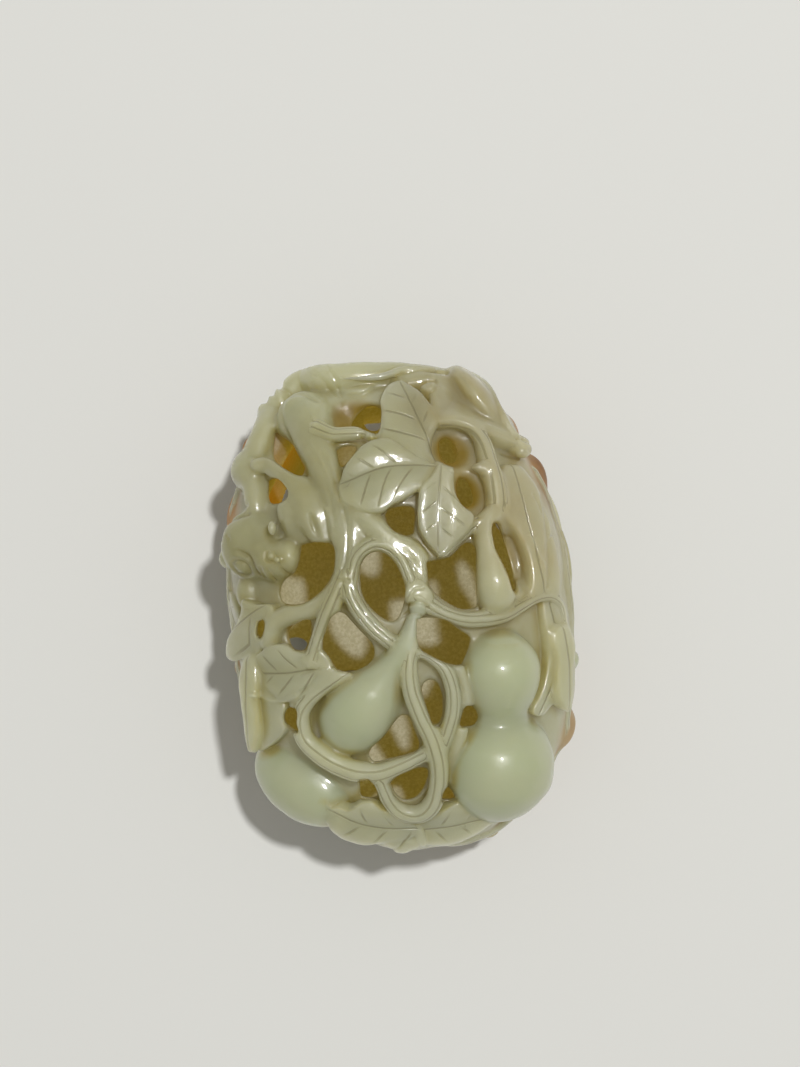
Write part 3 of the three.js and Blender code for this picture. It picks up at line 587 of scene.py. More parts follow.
# Leaves out of the photo's sight, on the back, low on the flanks and on the bands higher up: each kind's
# common sizes, then every leaf's midrib and half width.
backLeaf = {"over": 0.4, "dome": 0.3, "valley": 0.4, "veins": 2.8, "side": -1}
sideLeaf = {"over": 0.3, "dome": 0.3, "valley": 0.4, "veins": 2.6, "flank": True}
bandLeaf = {"over": -0.3, "dome": 0.3, "valley": 0.4, "veins": 2.4, "flank": True}
hiddenLeaves = {
    "backUpper": {**backLeaf, "rib": [(-1, 10), (-5.5, 15), (-9.5, 22)], "half": 4.2},
    "backRight": {**backLeaf, "rib": [(3, 9), (8.5, 12), (14.5, 18.5)], "half": 4.0},
    "backLower": {**backLeaf, "rib": [(-5, -10.5), (-10, -11.5), (-16, -16)], "half": 3.8},
    "sideRightA": {**sideLeaf, "rib": [(-45, 8.5), (-36, 5.6), (-24, 4.4)], "half": 3.0},
    "sideRightB": {**sideLeaf, "rib": [(0, 8.5), (9, 12), (19, 16.5)], "half": 2.8},
    "sideRightC": {**sideLeaf, "rib": [(22, 12), (31, 7), (43, 4.5)], "half": 3.0},
    "sideLeftA": {**sideLeaf, "rib": [(135, 9), (146, 5.6), (158, 4.4)], "half": 3.0},
    "sideLeftB": {**sideLeaf, "rib": [(180, 8), (191, 5), (204, 4.2)], "half": 2.8},
    "sideLeftC": {**sideLeaf, "rib": [(225, 9), (216, 13), (205, 16)], "half": 2.6},
    "endTop": {**sideLeaf, "rib": [(90, 9.5), (98, 6), (108, 4)], "half": 2.9},
    "endBottomA": {**sideLeaf, "rib": [(270, 9), (262, 5.8), (251, 4.2)], "half": 2.8},
    "endBottomB": {**sideLeaf, "rib": [(270, 9), (279, 6), (290, 4.4)], "half": 2.6},
    "bandRightA": {**bandLeaf, "rib": [(-22, 18.5), (-14, 21.5), (-4, 23)], "half": 2.4},
    "bandRightB": {**bandLeaf, "rib": [(6, 19), (14, 15), (25, 14)], "half": 2.3},
    "bandLeftA": {**bandLeaf, "rib": [(176, 18), (184, 21.5), (194, 23)], "half": 2.3},
    "bandLeftB": {**bandLeaf, "rib": [(190, 15), (199, 13), (208, 13)], "half": 2.2},
    "bandBottomA": {**bandLeaf, "rib": [(263, 18.5), (270, 22), (281, 23.5)], "half": 2.5},
    "bandBottomB": {**bandLeaf, "rib": [(250, 15), (243, 18.5), (233, 21.5)], "half": 2.4},
    "bandTopA": {**bandLeaf, "rib": [(90, 18.5), (97, 21.5), (107, 22.5)], "half": 2.3},
}


def leafOutline(rib, half):
    # Both edges of a pointed leaf: the midrib moved to each side by the half width times a power of the
    # sine of the share of its length, which is a little fuller near the stalk.
    share = np.linspace(0, 1, len(rib))
    along = np.gradient(rib, axis=0)
    along /= np.linalg.norm(along, axis=1, keepdims=True)
    right = np.stack([along[:, 1], -along[:, 0]], 1)
    out = half * np.sin(np.pi * share**0.85)[:, None] ** 0.75
    return np.vstack([rib + right * out, (rib - right * out)[-2:0:-1]])


def carveLeaf(piece):
    # A bent sheet on the skin. Its top is the height given, raised by the dome as the distance from the
    # outline grows, and lowered by a bell for the valley along the midrib and by one for each vein.
    rib = smoothPath(flat(piece, piece["rib"]), pathStep)
    if "half" in piece:
        outline = leafOutline(rib, piece["half"])
    else:
        outline = smoothPath(flat(piece, piece["outline"] + piece["outline"][:1]), fineStep)[:-1]
    where, u, v = around(piece, outline / flat(piece, [1, 1]))
    edge = outlineDistance(u, v, outline)
    along, aside, away, length = alongLine(u, v, rib)
    inward = np.clip(-edge, 0, None)
    top = spread(piece["over"], along / length)
    top = top + piece["dome"] * (1 - np.exp(-inward / piece.get("domeWidth", 0.9)))
    top -= piece["valley"] * np.exp(-((away / leafCut["valleyWidth"]) ** 2))
    noted = {"ribSide": aside, "ribbed": float(piece["valley"] > 0) * np.clip(2 * inward, 0, 1)}
    if "veins" in piece:
        phase = (along - leafCut["veinSlant"] * np.abs(aside)) / piece["veins"] + 0.25 * (aside > 0)
        ridge = np.abs(phase - np.round(phase)) * piece["veins"] * leafCut["veinTurn"]
        ends = np.clip(1.6 * (inward - 0.6), 0, 1) * np.clip(2 * away - 0.6, 0, 1) * (along > 0.3)
        top -= leafCut["veinDepth"] * np.exp(-((ridge / leafCut["veinWidth"]) ** 2)) * ends
        noted.update(veinAt=phase, veined=ends)
    if "lines" in piece:
        phase = np.abs(aside) / piece["lines"]
        ridge = np.abs(phase - np.round(phase)) * piece["lines"]
        line = np.exp(-((ridge / leafCut["lineWidth"]) ** 2))
        top -= leafCut["lineDepth"] * line * np.clip(2 * inward, 0, 1)
    level = skin[where]
    sheet = clip(level - top, top - piece.get("thick", 2.0) - level, 0.3)
    leaf = clip(sheet, edge, piece.get("round", 0.3))
    claim(where, leaf, **noted)
    join(where, leaf, piece.get("blend", 0.2))


# Gourds: axis, height of the axis over the egg, and radii at shares of the length.
gourds = {
    "double": {"axis": [(12.6, -2.1), (12.1, -26.8)], "over": [-0.4, 0.0], "straight": True, "blend": 0.6,
               "outline": [[0, 0], [0.02, 1.9], [0.06, 3.4], [0.12, 4.7], [0.19, 5.3], [0.27, 5.2],
                           [0.34, 4.7], [0.4, 4], [0.435, 3.9], [0.465, 4.2], [0.51, 5.4], [0.57, 6.6],
                           [0.65, 7.3], [0.72, 7.4], [0.8, 7.1], [0.88, 5.8], [0.94, 4.2], [0.98, 2.3],
                           [1, 0]]},
    "left": {"axis": [(-18.8, -18.2), (-6.6, -26.4)], "over": [-0.8, -0.9], "straight": True,
             "blend": 0.6,
             "outline": [[0, 0], [0.02, 1.4], [0.06, 2.5], [0.14, 3.8], [0.25, 4.7], [0.38, 5.3],
                         [0.5, 5.4], [0.62, 5.3], [0.75, 4.7], [0.86, 3.8], [0.94, 2.5], [0.98, 1.4],
                         [1, 0]]},
    "pear": {"axis": [(2.2, 1.4), (1.3, -1.9), (-0.4, -5.5), (-3.3, -9.9), (-6.9, -14.6), (-9.7, -18.2)],
             "over": [0.9, 0.6, -1.2, -2.6, -2.6], "blend": 0.8,
             "outline": [[0, 0.9], [0.14, 1.1], [0.27, 1.4], [0.39, 2], [0.5, 3.2], [0.6, 4.3],
                         [0.7, 4.9], [0.8, 4.8], [0.88, 4], [0.95, 2.6], [0.985, 1.4], [1, 0]]},
    "back": {"axis": [(8.6, -10), (9.6, -16), (10.8, -24)], "over": [-0.4, -1.8, -1.8], "side": -1,
             "outline": [[0, 0.8], [0.1, 1.0], [0.2, 1.9], [0.32, 2.6], [0.42, 2.4], [0.5, 1.9],
                         [0.56, 2.3], [0.66, 3.6], [0.78, 4.1], [0.9, 3.3], [0.97, 1.8], [1, 0]]},
    "sideRight": {"axis": [(-21, 11.5), (-10, 15.5)], "over": [-0.6, -2.2], "flank": True,
                  "outline": [[0, 0.7], [0.15, 0.8], [0.3, 1.4], [0.42, 1.5], [0.52, 1.2], [0.65, 2.0],
                              [0.8, 2.4], [0.93, 1.7], [1, 0]]},
    "sideLeft": {"axis": [(159, 12), (170, 16)], "over": [-0.4, -1.7], "flank": True,
                 "outline": [[0, 0.7], [0.15, 0.8], [0.3, 1.4], [0.42, 1.5], [0.52, 1.2], [0.65, 2.0],
                             [0.8, 2.4], [0.93, 1.7], [1, 0]]},
    "small": {"axis": [(10.8, 11.9), (10.9, 8.5), (11.3, 5.4), (11.8, 2.2), (12.2, -0.2)],
              "over": [0.3, 0.5, 0.4],
              "outline": [[0, 1.6], [0.2, 1.8], [0.35, 2], [0.5, 2.4], [0.65, 2.8], [0.8, 2.6],
                          [0.93, 1.8], [1, 0]], "blend": 0.8, "clear": 0.2},
}


def carveGourd(piece):
    # Turned on its axis: the distance to the axis less a radius that changes smoothly along it, over the
    # root of one and the squared slope of that radius.
    axis = smoothPath(piece["axis"], fineStep)
    points, ups = place(piece, axis, spread(piece["over"], np.linspace(0, 1, len(axis))))
    if piece.get("straight"):
        points = np.linspace(points[0], points[-1], len(points))
    radii = smoothPath(piece["outline"], 0.03)
    where, share, _, _, away = followPath(points, ups, radii[:, 1].max() + pathRoom)
    radius = np.interp(share, radii[:, 0], radii[:, 1]).astype(np.float32)
    length = np.linalg.norm(np.diff(points, axis=0), axis=1).sum()
    slope = np.gradient(radii[:, 1]) / np.maximum(np.gradient(radii[:, 0]) * length, 1e-3)
    lean = np.interp(share, radii[:, 0], np.clip(slope, -2.5, 2.5)).astype(np.float32)
    distance = (away - radius) / np.sqrt(1 + lean**2)
    claim(where, distance, gourd=piece.get("clear", 1.0))
    join(where, distance, piece.get("blend", 0.25))


# Soft bowls sunk in the skin, as ellipsoids that are taken away, the late ones after all the rest.
bowls = {
    "underTopRim": {"at": (-5.8, 24.8), "half": (4.7, 2.9, 4.5), "turn": -14, "over": 1.0, "blend": 1.6},
    "frameUp": {"at": (6.6, 20.6), "half": (2.9, 2.6, 3.9), "turn": -25, "over": 0.9, "blend": 1.6,
                "late": True},
    "frameLow": {"at": (8.4, 15.2), "half": (1.9, 2.8, 3.8), "turn": 20, "over": 0.9, "blend": 1.4,
                 "late": True},
    "topRight": {"at": (7.4, 25.3), "half": (3.8, 1.9, 1.7), "turn": -24, "over": 1.2, "blend": 1.4},
    "rightOfFrame": {"at": (12.1, 16.7), "half": (1.1, 3.8, 2.2), "turn": 10, "over": 0.9, "blend": 0.9},
    "haunch": {"at": (-14.5, 20.5), "half": (1.5, 4.5, 4.4), "turn": 17, "over": 0.9, "blend": 0.7},
    "underArm": {"at": (-6.9, 19.9), "half": (1.5, 1.3, 2.6), "turn": 0, "over": 0.9, "blend": 0.7},
    "leftWindow": {"at": (-12.8, -2.6), "half": (1.8, 2.1, 4.2), "turn": 0, "over": 0.9, "blend": 0.8},
    "neckWindow": {"at": (-15.4, 15.4), "half": (1.5, 1.6, 2.4), "turn": 0, "over": 0.9, "blend": 0.7},
    "slitSide": {"at": (13.7, 6.7), "half": (1.4, 4.8, 3.5), "turn": 17, "over": 1.9, "blend": 1.2,
                 "late": True},
    "earSpoon": {"at": (-10.6, 11), "half": (0.6, 2.1, 0.8), "turn": 22, "over": 1.5, "blend": 0.25,
                 "late": True},
    "lowRightCorner": {"at": (-52, 17), "half": (9.0, 3.2, 16.0), "turn": 50, "over": 1.0, "blend": 1.2,
                       "flank": True},
    "belowEar": {"at": (-14.9, 13.3), "half": (1.6, 1, 1.5), "turn": -35, "over": 1.2, "blend": 0.7},
}

# Lines scored in the finished surface: path seen from the front, depth and half width; a negative
# depth raises a ridge.
lines = {
    "eyeRing": {"path": [(-15.9, 11.8), (-16.5, 11.2), (-16.7, 10.2), (-16.1, 9.3), (-15.5, 9.3),
                         (-15, 10.2), (-15.2, 11.2), (-15.9, 11.8)], "depth": 0.14, "width": 0.18},
    "eyeSlit": {"path": [(-15.9, 11.2), (-16, 10.5), (-15.9, 9.8)], "depth": 0.12, "width": 0.16},
    "eyeBack": {"path": [(-14.3, 11.6), (-14, 10.8), (-14.1, 10.1)], "depth": -0.15, "width": 0.22},
    "nostril": {"path": [(-16.1, 7.5), (-16.1, 6.7), (-15.6, 6.4)], "depth": 0.25, "width": 0.18},
    "mouthA": {"path": [(-16.8, 5.6), (-17, 4.6)], "depth": 0.3, "width": 0.2},
    "mouthB": {"path": [(-16, 5.4), (-16, 4.2)], "depth": 0.3, "width": 0.2},
    "mouthC": {"path": [(-14.7, 5.6), (-14.2, 4.6)], "depth": 0.35, "width": 0.22},
    "jaw": {"path": [(-19.1, 7.7), (-18.2, 7), (-17.9, 6), (-17.7, 5)], "depth": 0.45, "width": 0.3},
    "pawRing": {"path": [(-19.5, 6.6), (-20.1, 6.2), (-20.2, 5.6), (-20, 4.9), (-19.3, 4.7), (-18.7, 5.1),
                         (-18.6, 5.8), (-18.8, 6.3), (-19.5, 6.6)], "depth": 0.35, "width": 0.2},
    "headTop": {"path": [(-21.8, 9.2), (-21.5, 10.5), (-20.5, 11.4), (-19, 12.2)], "depth": 0.4,
                "width": 0.24},
    "headRim": {"path": [(-22.2, 9.1), (-22, 10.2), (-21.2, 11.6), (-20, 12.9), (-19.1, 13.6)],
                "depth": 0.35, "width": 0.24},
    "crackA": {"path": [(-21.2, 9), (-21.1, 9.7), (-20.8, 10.2)], "depth": 0.2, "width": 0.15},
    "crackB": {"path": [(-20.3, 9.6), (-20, 9.2), (-19.9, 9)], "depth": 0.2, "width": 0.15},
    "crackC": {"path": [(-21.9, 8.1), (-21.5, 8.5)], "depth": 0.2, "width": 0.15},
    "haunchArc": {"path": [(-14.2, 21.8), (-15, 23.6), (-15, 25.4), (-14.2, 26.8), (-12.4, 27.4),
                           (-10.7, 26.9)], "depth": 0.3, "width": 0.25},
    "thighEdge": {"path": [(-9.2, 13), (-8.6, 11.3), (-8.3, 9.4)], "depth": -0.2, "width": 0.25},
    "stripA": {"path": [(-16.5, 25.5), (-17.1, 22.9), (-17.6, 20.4)], "depth": 0.14, "width": 0.22},
    "stripB": {"path": [(-15.2, 26.5), (-16.1, 24.2), (-16.4, 21.6)], "depth": 0.14, "width": 0.22},
    "eyeTop": {"path": [(2.2, 28.1), (3.1, 28.6), (4.2, 28.4), (4.3, 27.6), (3.2, 27.2), (2.3, 27.7)],
               "depth": 0.22, "width": 0.18},
    "toeA": {"path": [(14, 21.5), (15.8, 20.8)], "depth": 0.3, "width": 0.2},
    "toeB": {"path": [(13.5, 20.7), (15.7, 20.1)], "depth": 0.3, "width": 0.2},
    "fingerA": {"path": [(-4.9, 22), (-3.9, 21.3)], "depth": 0.25, "width": 0.18},
    "notchA": {"path": [(-16.8, 26.3), (-16.6, 26.7)], "depth": 0.5, "width": 0.3},
    "notchB": {"path": [(-15.9, 27.2), (-15.8, 27.5)], "depth": 0.5, "width": 0.3},
    "notchC": {"path": [(-15, 28), (-14.8, 28.3)], "depth": 0.5, "width": 0.3},
    "shoulder": {"path": [(-18.3, 19.4), (-17.3, 19.6), (-16, 19.3)], "depth": 0.2, "width": 0.25},
    "trunkA": {"path": [(-9.8, 20.2), (-8.3, 16.7), (-7.5, 14)], "depth": 0.2, "width": 0.22},
    "trunkB": {"path": [(-7, 12.8), (-6.5, 10.3), (-6.6, 7.1), (-7.2, 4.9)], "depth": 0.25, "width": 0.2},
    "trunkC": {"path": [(-11.9, 21.5), (-9.8, 17.8), (-8.6, 14), (-8, 10.3)], "depth": 0.16,
               "width": 0.25},
    "hairA": {"path": [(-10.8, 29.6), (-9, 28.9), (-7.7, 27.7)], "depth": 0.2, "width": 0.16},
    "hairB": {"path": [(-9, 30), (-8.2, 29.2), (-7.3, 27.6)], "depth": 0.2, "width": 0.16},
    "rightFoldA": {"path": [(17.6, 14.3), (17.8, 10.3), (17.9, 6.5), (17.8, 3)], "depth": 0.3,
                   "width": 0.35},
    "rightFoldB": {"path": [(16.1, 14.7), (16.6, 13.7), (17.1, 12.4)], "depth": 0.2, "width": 0.15},
    "rightFoldC": {"path": [(15.6, 9.4), (16.5, 7.4), (17.3, 5.5)], "depth": -0.22, "width": 0.2},
    "rightFoldD": {"path": [(18.2, 8.9), (19.4, 11.1)], "depth": 0.2, "width": 0.25},
    "lowStarA": {"path": [(1.7, -28), (-0.6, -29.1), (-1.6, -30.3)], "depth": 0.16, "width": 0.3},
    "lowStarB": {"path": [(1.7, -28), (2.4, -28.9), (3, -30.1)], "depth": 0.18, "width": 0.3},
    "lowStarC": {"path": [(1.7, -28), (-2, -28.6), (-6.4, -29.7)], "depth": 0.2, "width": 0.25},
    "midLeftLip": {"path": [(-17.3, -10.1), (-16.4, -10.7), (-15.4, -11), (-14.1, -10.9), (-12.6, -10.2)],
                   "depth": -0.25, "width": 0.25},
    "midVeinA": {"path": [(-9.8, -6.8), (-11.1, -7.1), (-12.1, -7.6)], "depth": 0.25, "width": 0.15},
    "midVeinB": {"path": [(-10.3, -7.8), (-11.1, -9), (-12, -9.6)], "depth": 0.2, "width": 0.15},
    "knotA": {"path": [(-7.7, 4.3), (-6.2, 4)], "depth": 0.2, "width": 0.2},
    "nodeA": {"path": [(0.8, 1.9), (1.6, 3), (2.5, 3.1)], "depth": 0.3, "width": 0.18},
    "nodeB": {"path": [(1.1, 1.2), (2.3, 1.4), (3.3, 0.9)], "depth": 0.3, "width": 0.18},
    "sepalA": {"path": [(0.4, -0.3), (1.3, 0.2), (2.5, -0.3)], "depth": 0.25, "width": 0.18},
}


def scoreLine(piece):
    # Lowers the surface by a bell of the distance to the line, on the outside of the stone only.
    path = smoothPath(piece["path"], fineStep)
    where, u, v = around(piece, piece["path"])
    away = alongLine(u, v, path)[2]
    outer = np.clip(skin[where] + 2, 0, 1)
    stone[where] += piece["depth"] * np.exp(-((away / piece["width"]) ** 2)) * outer


# How the openings are cut.
drill = {
    "frontFrom": 3,  # the front's cuts start this far over the egg's middle
    "widenBelow": 1.4,  # this far below the skin they start to widen
    "widenFor": 3,
    "widening": 0.3,  # for each millimetre deeper
    "frontRoom": 3,  # space worked out round a cut
    "frontSoft": 0.6,  # rounding of its edge
    "backTo": 5,  # the back's holes end this far below the egg's middle
    "backRoom": 2,
    "backSoft": 0.8,
}
# Openings through the front, by the corners of what shows, and the rounding where it is another.
windows = {
    "haunch": {"corners": [(-16.2, 23), (-15.3, 22.2), (-14.2, 20.9), (-13.2, 19.3), (-12.5, 18.3),
                           (-12.9, 17.5), (-13.9, 17.8), (-15.3, 18.7), (-16.2, 19.9)], "soft": 1.2},
    "neck": {"corners": [(-16.9, 16.8), (-15.9, 17), (-15, 16.4), (-14.3, 15.2), (-14.7, 14.2),
                         (-16.4, 13.8), (-16.9, 14.7)]},
    "besideHead": {"corners": [(-12.6, 8.5), (-11.4, 8.8), (-10.2, 8.9), (-8.9, 8.7), (-8.4, 8),
                               (-8.3, 6.9), (-8.5, 5.4), (-9.3, 3.8), (-10.5, 2.4), (-12.1, 1.3),
                               (-13.7, 1), (-14.9, 1.3), (-15.3, 2.6), (-14.7, 4.1), (-13.5, 5),
                               (-12.9, 6.4), (-12.7, 7.5)]},
    "underArch": {"corners": [(-5.1, 4.6), (-5, 6), (-4.2, 7.2), (-3, 7.7), (-1.8, 7.3), (-0.8, 6.3),
                              (0, 4.8), (0.5, 3.2), (0.4, 1.7), (0, 0.3), (-0.6, -0.8), (-1.4, -1),
                              (-2.4, -0.5), (-3.5, 0.4), (-4.5, 1.7), (-5, 3.1)]},
    "rightOfNode": {"corners": [(3.2, 6.4), (4.9, 6.7), (6.1, 7), (7.1, 7.9), (7.9, 8.7), (8.9, 8.7),
                                (9.4, 7.7), (9.4, 4.8), (9.5, 1.7), (9.3, 0.7), (7.6, 0.5), (5.9, 1.3),
                                (4.4, 2.4), (3.5, 3.9)]},
    "aboveBulb": {"corners": [(2, -0.7), (3.6, -0.6), (5.6, -0.9), (7.4, -2.2), (8.6, -3), (8.5, -4.3),
                              (8, -5.6), (7.4, -6.5), (5.9, -6.3), (3.9, -5.4), (2.5, -4.5), (2, -3)]},
    "belowFork": {"corners": [(-8.8, -0.6), (-8.1, 0), (-7.2, -0.1), (-6.2, -1.1), (-5.2, -2.2),
                              (-4.1, -3.3), (-3.4, -4.4), (-3.5, -5.7), (-4.5, -6.7), (-5.9, -7.3),
                              (-7.4, -7.3), (-8.3, -6.9), (-9, -5.6), (-9.8, -4.6), (-9.8, -3.4),
                              (-9.3, -1.8)]},
    "leftWindow": {"corners": [(-14, -2.5), (-13.3, -1.7), (-12.4, -1), (-11.5, -1), (-11.5, -2.4),
                               (-11.9, -3.8), (-12.3, -4.7), (-13.3, -4.7), (-13.9, -3.9)]},
    "sliver": {"corners": [(-18.2, -1.3), (-17.4, -1), (-17.4, -2.3), (-17.9, -3.4), (-18.4, -2.8)]},
    "top": {"corners": [(-4.8, 25), (-4.1, 26), (-2.9, 25.8), (-2.8, 24.4), (-3, 23.2), (-4.2, 23.2),
                        (-4.9, 24)], "soft": 1.3},
    "underArm": {"corners": [(-8.1, 20.5), (-7.1, 21), (-5.7, 20.9), (-6.4, 19.7), (-7.2, 18.7),
                             (-7.7, 18.5)]},
    "heart": {"corners": [(-2, 12.3), (-1.5, 13), (-0.5, 13.3), (0.6, 13.4), (1.5, 13.2), (1.7, 12.2),
                          (1.6, 10.8), (1.4, 9.9), (0.4, 9.8), (-0.8, 10.3), (-1.6, 11.2)]},
    "frameUp": {"corners": [(5.3, 21.6), (5.7, 21.9), (6.1, 21.4), (6.4, 20.7), (6.4, 19.8), (5.9, 19.6),
                            (5.6, 20.4)], "soft": 0.9},
    "frameLow": {"corners": [(7.6, 16.6), (7.9, 16.5), (8.3, 15.3), (8.5, 14.3), (8.3, 13.8), (7.9, 14.2),
                             (7.5, 15.5)], "soft": 0.9},
    "slit": {"corners": [(11.6, 11.3), (12.1, 11.2), (12.5, 10.2), (13, 8.5), (13.5, 6.6), (14, 4.8),
                         (14.4, 2.9), (14, 3.1), (13.5, 4.8), (12.7, 6.5), (11.9, 7.9), (11.6, 9.2),
                         (11.4, 10.4)], "soft": 0.8},
    "triangleUp": {"corners": [(0.1, -12.9), (0.9, -13), (1.4, -14.1), (1.9, -15.4), (2.3, -16.6),
                               (1.8, -17.5), (0.1, -18.1), (-1.6, -18.5), (-3.3, -18.9), (-4, -18.1),
                               (-3.7, -17.1), (-2.4, -15.9), (-1.4, -14.6), (-0.6, -13.5)]},
    "triangleLow": {"corners": [(-1.3, -21.7), (-0.1, -20.6), (1.1, -20.1), (2.4, -19.7), (3.3, -19.9),
                                (3.4, -20.7), (2.9, -22.2), (2.1, -23.4), (1.1, -23.9), (0.1, -23.8),
                                (-0.8, -22.9)]},
    "tendrilEye": {"corners": [(2.6, -9.6), (2.9, -8.8), (3.7, -8.4), (4.5, -8.8), (5.1, -10.2),
                               (5.2, -11.6), (5.1, -13.1), (4.6, -14), (4, -13.9), (3.5, -12.6),
                               (3, -11.1)]},
    "besideWaist": {"corners": [(7.8, -12.1), (8.3, -11.6), (8.9, -11.8), (9.5, -12.4), (9.7, -13.3),
                                (9.2, -14.2), (8.3, -14.3), (7.4, -14.2)]},
    "belowWaist": {"corners": [(5.1, -23.8), (5.3, -22.9), (5.8, -22.2), (6.3, -22.5), (6.8, -23.4),
                               (6.6, -23.8), (5.7, -23.9)]},
    "lowLeft": {"corners": [(-5.2, -21.1), (-4.2, -20.9), (-3.5, -22), (-3, -23.3), (-3.8, -23.7),
                            (-5, -23.5), (-5.2, -22.5)]},
    "leftFold": {"corners": [(-14.4, -12.2), (-13.5, -12.1), (-13.1, -12.8), (-13.2, -14), (-12.9, -15.2),
                             (-13.8, -14.9), (-14.7, -14.1), (-14.8, -13)]},
}


def openWindow(piece):
    # A cut along Z of the outline's section: the distance to the outline, less a share of how far below
    # the skin a point is, so that the cut widens inward and the stems are undercut.
    corners = smoothPath(piece["corners"] + piece["corners"][:1], fineStep)[:-1]
    low, high = corners.min(0) - drill["frontRoom"], corners.max(0) + drill["frontRoom"]
    where, (x, y, _) = near([*low, egg["middle"] + drill["frontFrom"]], [*high, axes[2][-1] + grain])
    under = np.clip(-skin[where] - drill["widenBelow"], 0, drill["widenFor"])
    distance = outlineDistance(x, y, corners) - drill["widening"] * under
    cutAway(where, distance, piece.get("soft", drill["frontSoft"]))


# Small holes right through the back wall, that let the ground's light in.
backHoles = {
    "behindNeck": {"at": (-16.6, 15.7), "half": (1.6, 1.9)},
    "behindTop": {"at": (-3.7, 25.1), "half": (1.3, 1.4)},
    "behindWindow": {"at": (-14.2, -5.4), "half": (1.7, 1.4)},
    "behindFork": {"at": (-6.7, -9.5), "half": (1.8, 0.9)},
    "lowBack": {"at": (8.5, -19), "half": (1.5, 1.9)},
    "sideBack": {"at": (14, 12.5), "half": (1.5, 2.4)},
}


def openBack(piece):
    # An elliptical hole along Z: its radius scaled to one at the wall, less one, times the narrower half.
    (cx, cy), (a, b) = piece["at"], piece["half"]
    wide, high = a + drill["backRoom"], b + drill["backRoom"]
    top = egg["middle"] - drill["backTo"]
    where, (x, y, _) = near([cx - wide, cy - high, axes[2][0]], [cx + wide, cy + high, top])
    radius = np.sqrt(((x - cx) / a) ** 2 + ((y - cy) / b) ** 2)
    cutAway(where, (radius - 1) * min(a, b), drill["backSoft"])


for piece in bowls.values():
    if "late" not in piece:
        carveLump(piece, cut=True)
for piece in lumps.values():
    carveLump(piece)
for piece in stems.values():
    carveStem(piece)
for piece in gourds.values():
    carveGourd(piece)
for piece in [*leaves.values(), *hiddenLeaves.values()]:
    carveLeaf(piece)
for piece in bowls.values():
    if "late" in piece:
        carveLump(piece, cut=True)
for piece in lines.values():
    scoreLine(piece)

# Slow unevenness that hand tools leave: the waves' spacing and their height outside and inside. The
# gourds are ground truer than the rest.
toolWaves = {
    "wide": 2.0,
    "wideEverywhere": 0.03,
    "wideOutside": 0.05,
    "inner": 3.0,
    "innerHeight": 0.22,
    "fine": 0.9,
    "fineOutside": 0.02,
}
outside = np.clip(1 + (skin + 2.5) / 1.5, 0, 1)  # 1 down to 2.5 below the skin, and 0 from 4 on
uneven = 1 - traits["gourd"]
waves = ripple(toolWaves["wide"])
waves = waves * (toolWaves["wideEverywhere"] + toolWaves["wideOutside"] * outside * uneven)
stone += waves + ripple(toolWaves["inner"]) * toolWaves["innerHeight"] * (1 - outside)
stone += ripple(toolWaves["fine"]) * toolWaves["fineOutside"] * outside * uneven
print("stems, gourds, leaves and squirrels carved")

for piece in windows.values():
    openWindow(piece)
for piece in backHoles.values():
    openBack(piece)
stone = clip(stone, np.broadcast_to(-z, stone.shape), egg["floorBlend"])
for axis in range(3):
    edges = np.moveaxis(stone, axis, 0)
    edges[[0, -1]] = 1.0  # nothing reaches the edge of the grid
print("openings drilled, flat spot ground")


def surfaceOf(values):
    # One point in each grid cell that the surface crosses, at the mean of the crossings on its edges,
    # and a four-sided face round each grid edge that it crosses.
    inside = values < 0
    cells = tuple(n - 1 for n in values.shape)
    count = np.zeros(cells, np.uint8)
    corners = [(i, j, k) for i in (0, 1) for j in (0, 1) for k in (0, 1)]
    for i, j, k in corners:
        count += inside[i:i + cells[0], j:j + cells[1], k:k + cells[2]]
    crossed = np.flatnonzero((count > 0) & (count < 8))  # cells with some corners inside, not all
    number = np.full(cells, -1, np.int32)
    number.reshape(-1)[crossed] = np.arange(len(crossed))
    cell = np.stack(np.unravel_index(crossed, cells), 1)
    at = {c: values[tuple((cell + c).T)] for c in corners}
    total = np.zeros((len(cell), 3))
    hits = np.zeros(len(cell))
    for c in corners:
        for axis in range(3):
            if c[axis]:
                continue
            d = tuple(v + (n == axis) for n, v in enumerate(c))
            a, b = at[c], at[d]
            cross = (a < 0) != (b < 0)
            spot = np.array(c, float) + np.zeros((len(cell), 3))
            spot[:, axis] += np.where(cross, a / np.where(cross, a - b, 1), 0)
            total += spot * cross[:, None]
            hits += cross
    points = cell + total / hits[:, None]
    faces = []
    for axis in range(3):
        a = [slice(1, None)] * 3
        b = [slice(1, None)] * 3
        a[axis] = slice(0, -1)
        here, beyond = inside[tuple(a)], inside[tuple(b)]
        edge = np.stack(np.nonzero(here != beyond), 1)
        outward = here[tuple(edge.T)]
        base = edge + 1
        base[:, axis] -= 1
        base = np.minimum(base, np.array(cells) - 1)
        p, q = (axis + 1) % 3, (axis + 2) % 3
        ring = []
        for dp, dq in ((0, 0), (1, 0), (1, 1), (0, 1)):
            spot = base.copy()
            spot[:, p] -= dp
            spot[:, q] -= dq
            ring.append(number[tuple(spot.T)])
        quad = np.stack(ring, 1)
        quad[~outward] = quad[~outward][:, ::-1]
        faces.append(quad)
    origin = np.array([a[0] for a in axes])
    return points * grain + origin, np.vstack(faces)


points, faces = surfaceOf(stone)
print("surface of", len(points), "points found")

